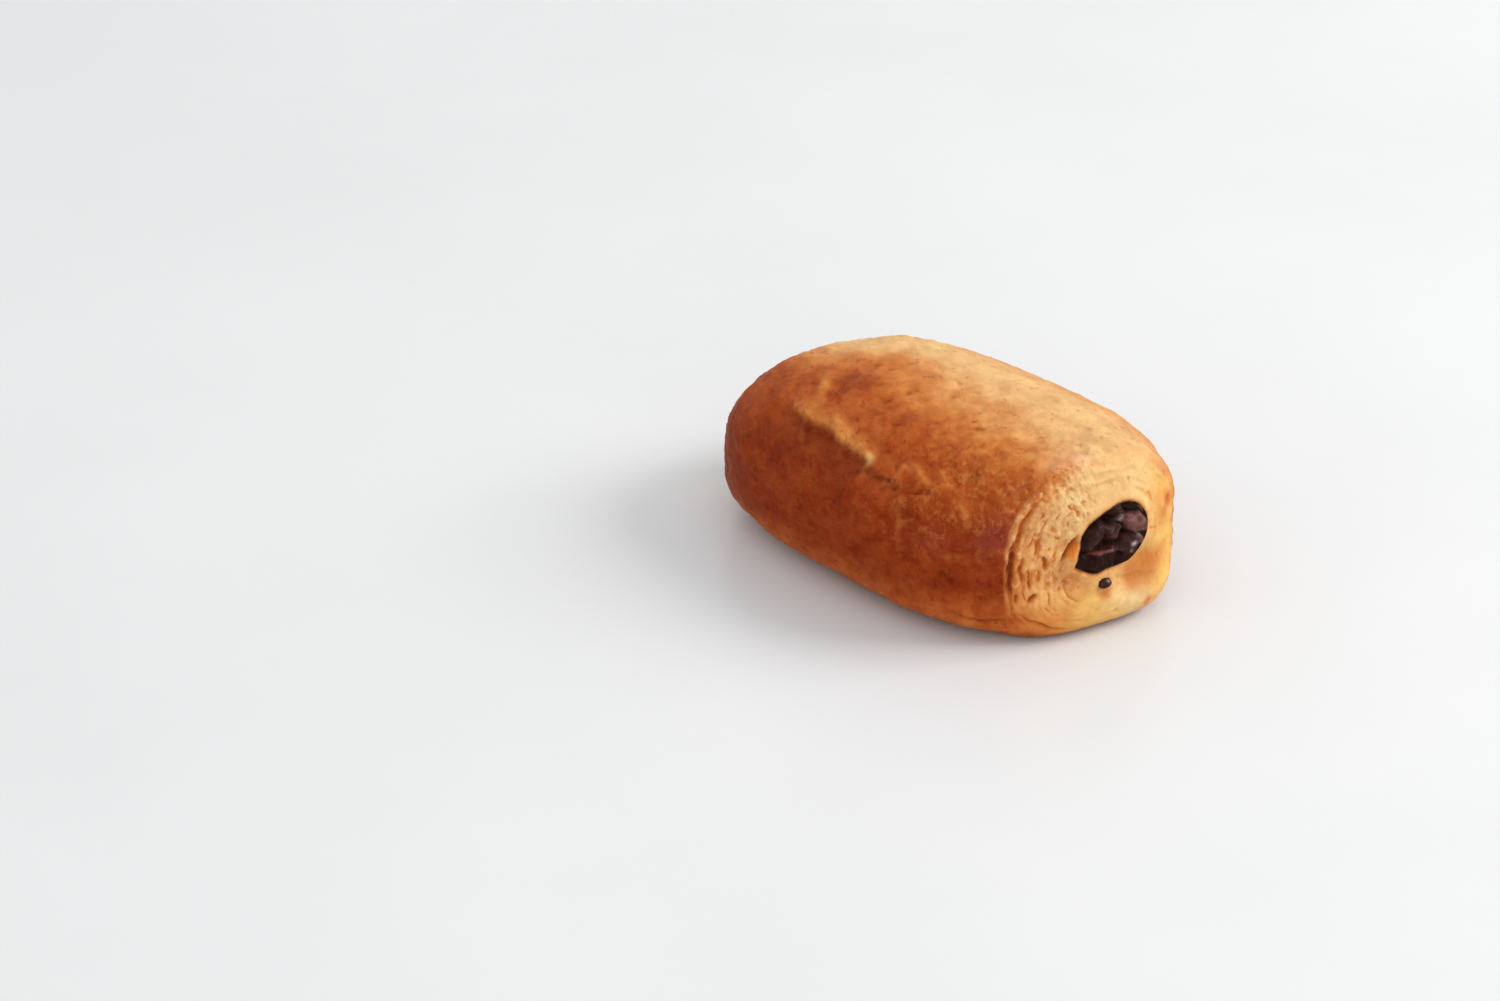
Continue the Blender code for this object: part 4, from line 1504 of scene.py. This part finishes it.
# Camera and lights, placed as (right, away, up) in metres as seen in the picture, from the roll's middle
VIEW_TURN = math.radians(48)
VIEW_PITCH = math.radians(28)
VIEW_DISTANCE = 0.89
VIEW_TARGET = (0.046, -0.024)
LENS = 85
SENSOR_WIDTH = 36
CLIP_START = 0.01
CLIP_END = 50
ROOM_COLOUR = (0.985, 0.992, 1)
ROOM_STRENGTH = 0.86
# Each light has its place, size, power and colour
LIGHTS = {
    "key": ((1.35, 0.1, 0.95), 0.85, 20, (1, 0.985, 0.96)),
    "fill": ((0.1, -1.7, 0.9), 1.2, 6, (1, 0.99, 0.98)),
}
FLOOR_SIZE = 14
FLOOR_LEVEL = -0.0001


def seen_to_row(right, away, up):
    """Turn a place as seen in the picture into the row frame."""
    x = math.cos(VIEW_TURN) * right - math.sin(VIEW_TURN) * away
    y = math.sin(VIEW_TURN) * right + math.cos(VIEW_TURN) * away
    return x + ROW_SHIFT[0] * MILLIMETRE, y + ROW_SHIFT[1] * MILLIMETRE, up


def add_camera():
    """Place the camera at the picture's viewing angle."""
    data = bpy.data.cameras.new("camera")
    data.lens = LENS
    data.sensor_width = SENSOR_WIDTH
    data.clip_start = CLIP_START
    data.clip_end = CLIP_END
    camera = bpy.data.objects.new("camera", data)
    bpy.context.scene.collection.objects.link(camera)
    right = -VIEW_TARGET[0]
    away = -VIEW_TARGET[1] - VIEW_DISTANCE * math.cos(VIEW_PITCH)
    camera.location = seen_to_row(right, away, VIEW_DISTANCE * math.sin(VIEW_PITCH))
    camera.rotation_euler = (math.pi / 2 - VIEW_PITCH, 0, VIEW_TURN)
    bpy.context.scene.camera = camera


def add_light(name, place, size, power, colour):
    """Add a square soft light that points at the roll."""
    data = bpy.data.lights.new(name, "AREA")
    data.shape = "SQUARE"
    data.size = size
    data.energy = power
    data.color = colour
    light = bpy.data.objects.new(name, data)
    bpy.context.scene.collection.objects.link(light)
    x, y, z = seen_to_row(*place)
    light.location = (x, y, z)
    light.rotation_euler = (math.atan2(math.hypot(x, y), z), 0, math.atan2(-y, -x) - math.pi / 2)
    light.visible_camera = False


def add_surroundings():
    """Add the floor, the pale room and the soft lights."""
    bpy.ops.mesh.primitive_plane_add(size=FLOOR_SIZE, location=(0, 0, FLOOR_LEVEL))
    floor = bpy.context.object
    floor.name = "floor"
    floor.data.materials.append(floor_material())
    world = bpy.data.worlds.new("pale_room")
    bpy.context.scene.world = world
    world.use_nodes = True
    background = world.node_tree.nodes["Background"]
    background.inputs["Color"].default_value = (*ROOM_COLOUR, 1)
    background.inputs["Strength"].default_value = ROOM_STRENGTH
    for name, settings in LIGHTS.items():
        add_light(name, *settings)
    bpy.context.scene.view_settings.view_transform = "Standard"


def dress(piece, material, node):
    """Give a piece its material, and let it stand for a node of the frame."""
    piece.data.materials.append(material)
    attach(piece, "root")
    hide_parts(node)


def main():
    """Build the roll, the chocolate, the floor, the lights and the camera."""
    surface = Surface()
    points, near_measures, far_measures, side_measures = shape_roll(surface)
    colours = roll_colour(surface, near_measures, far_measures, side_measures)
    roll = torus_mesh("baked_roll", points, colours)
    store(roll.data, "texture", texture_strength(surface, side_measures, near_measures).reshape(-1, 3))
    dress(roll, baked_material(), "pastry")
    chocolate = chocolate_material()
    dress(capped_mesh("chocolate_band", *build_band()), chocolate, "chocolate")
    dress(capped_mesh("melted_drop", *build_drop()), chocolate, "chocolate_drop")
    add_camera()
    add_surroundings()


main()
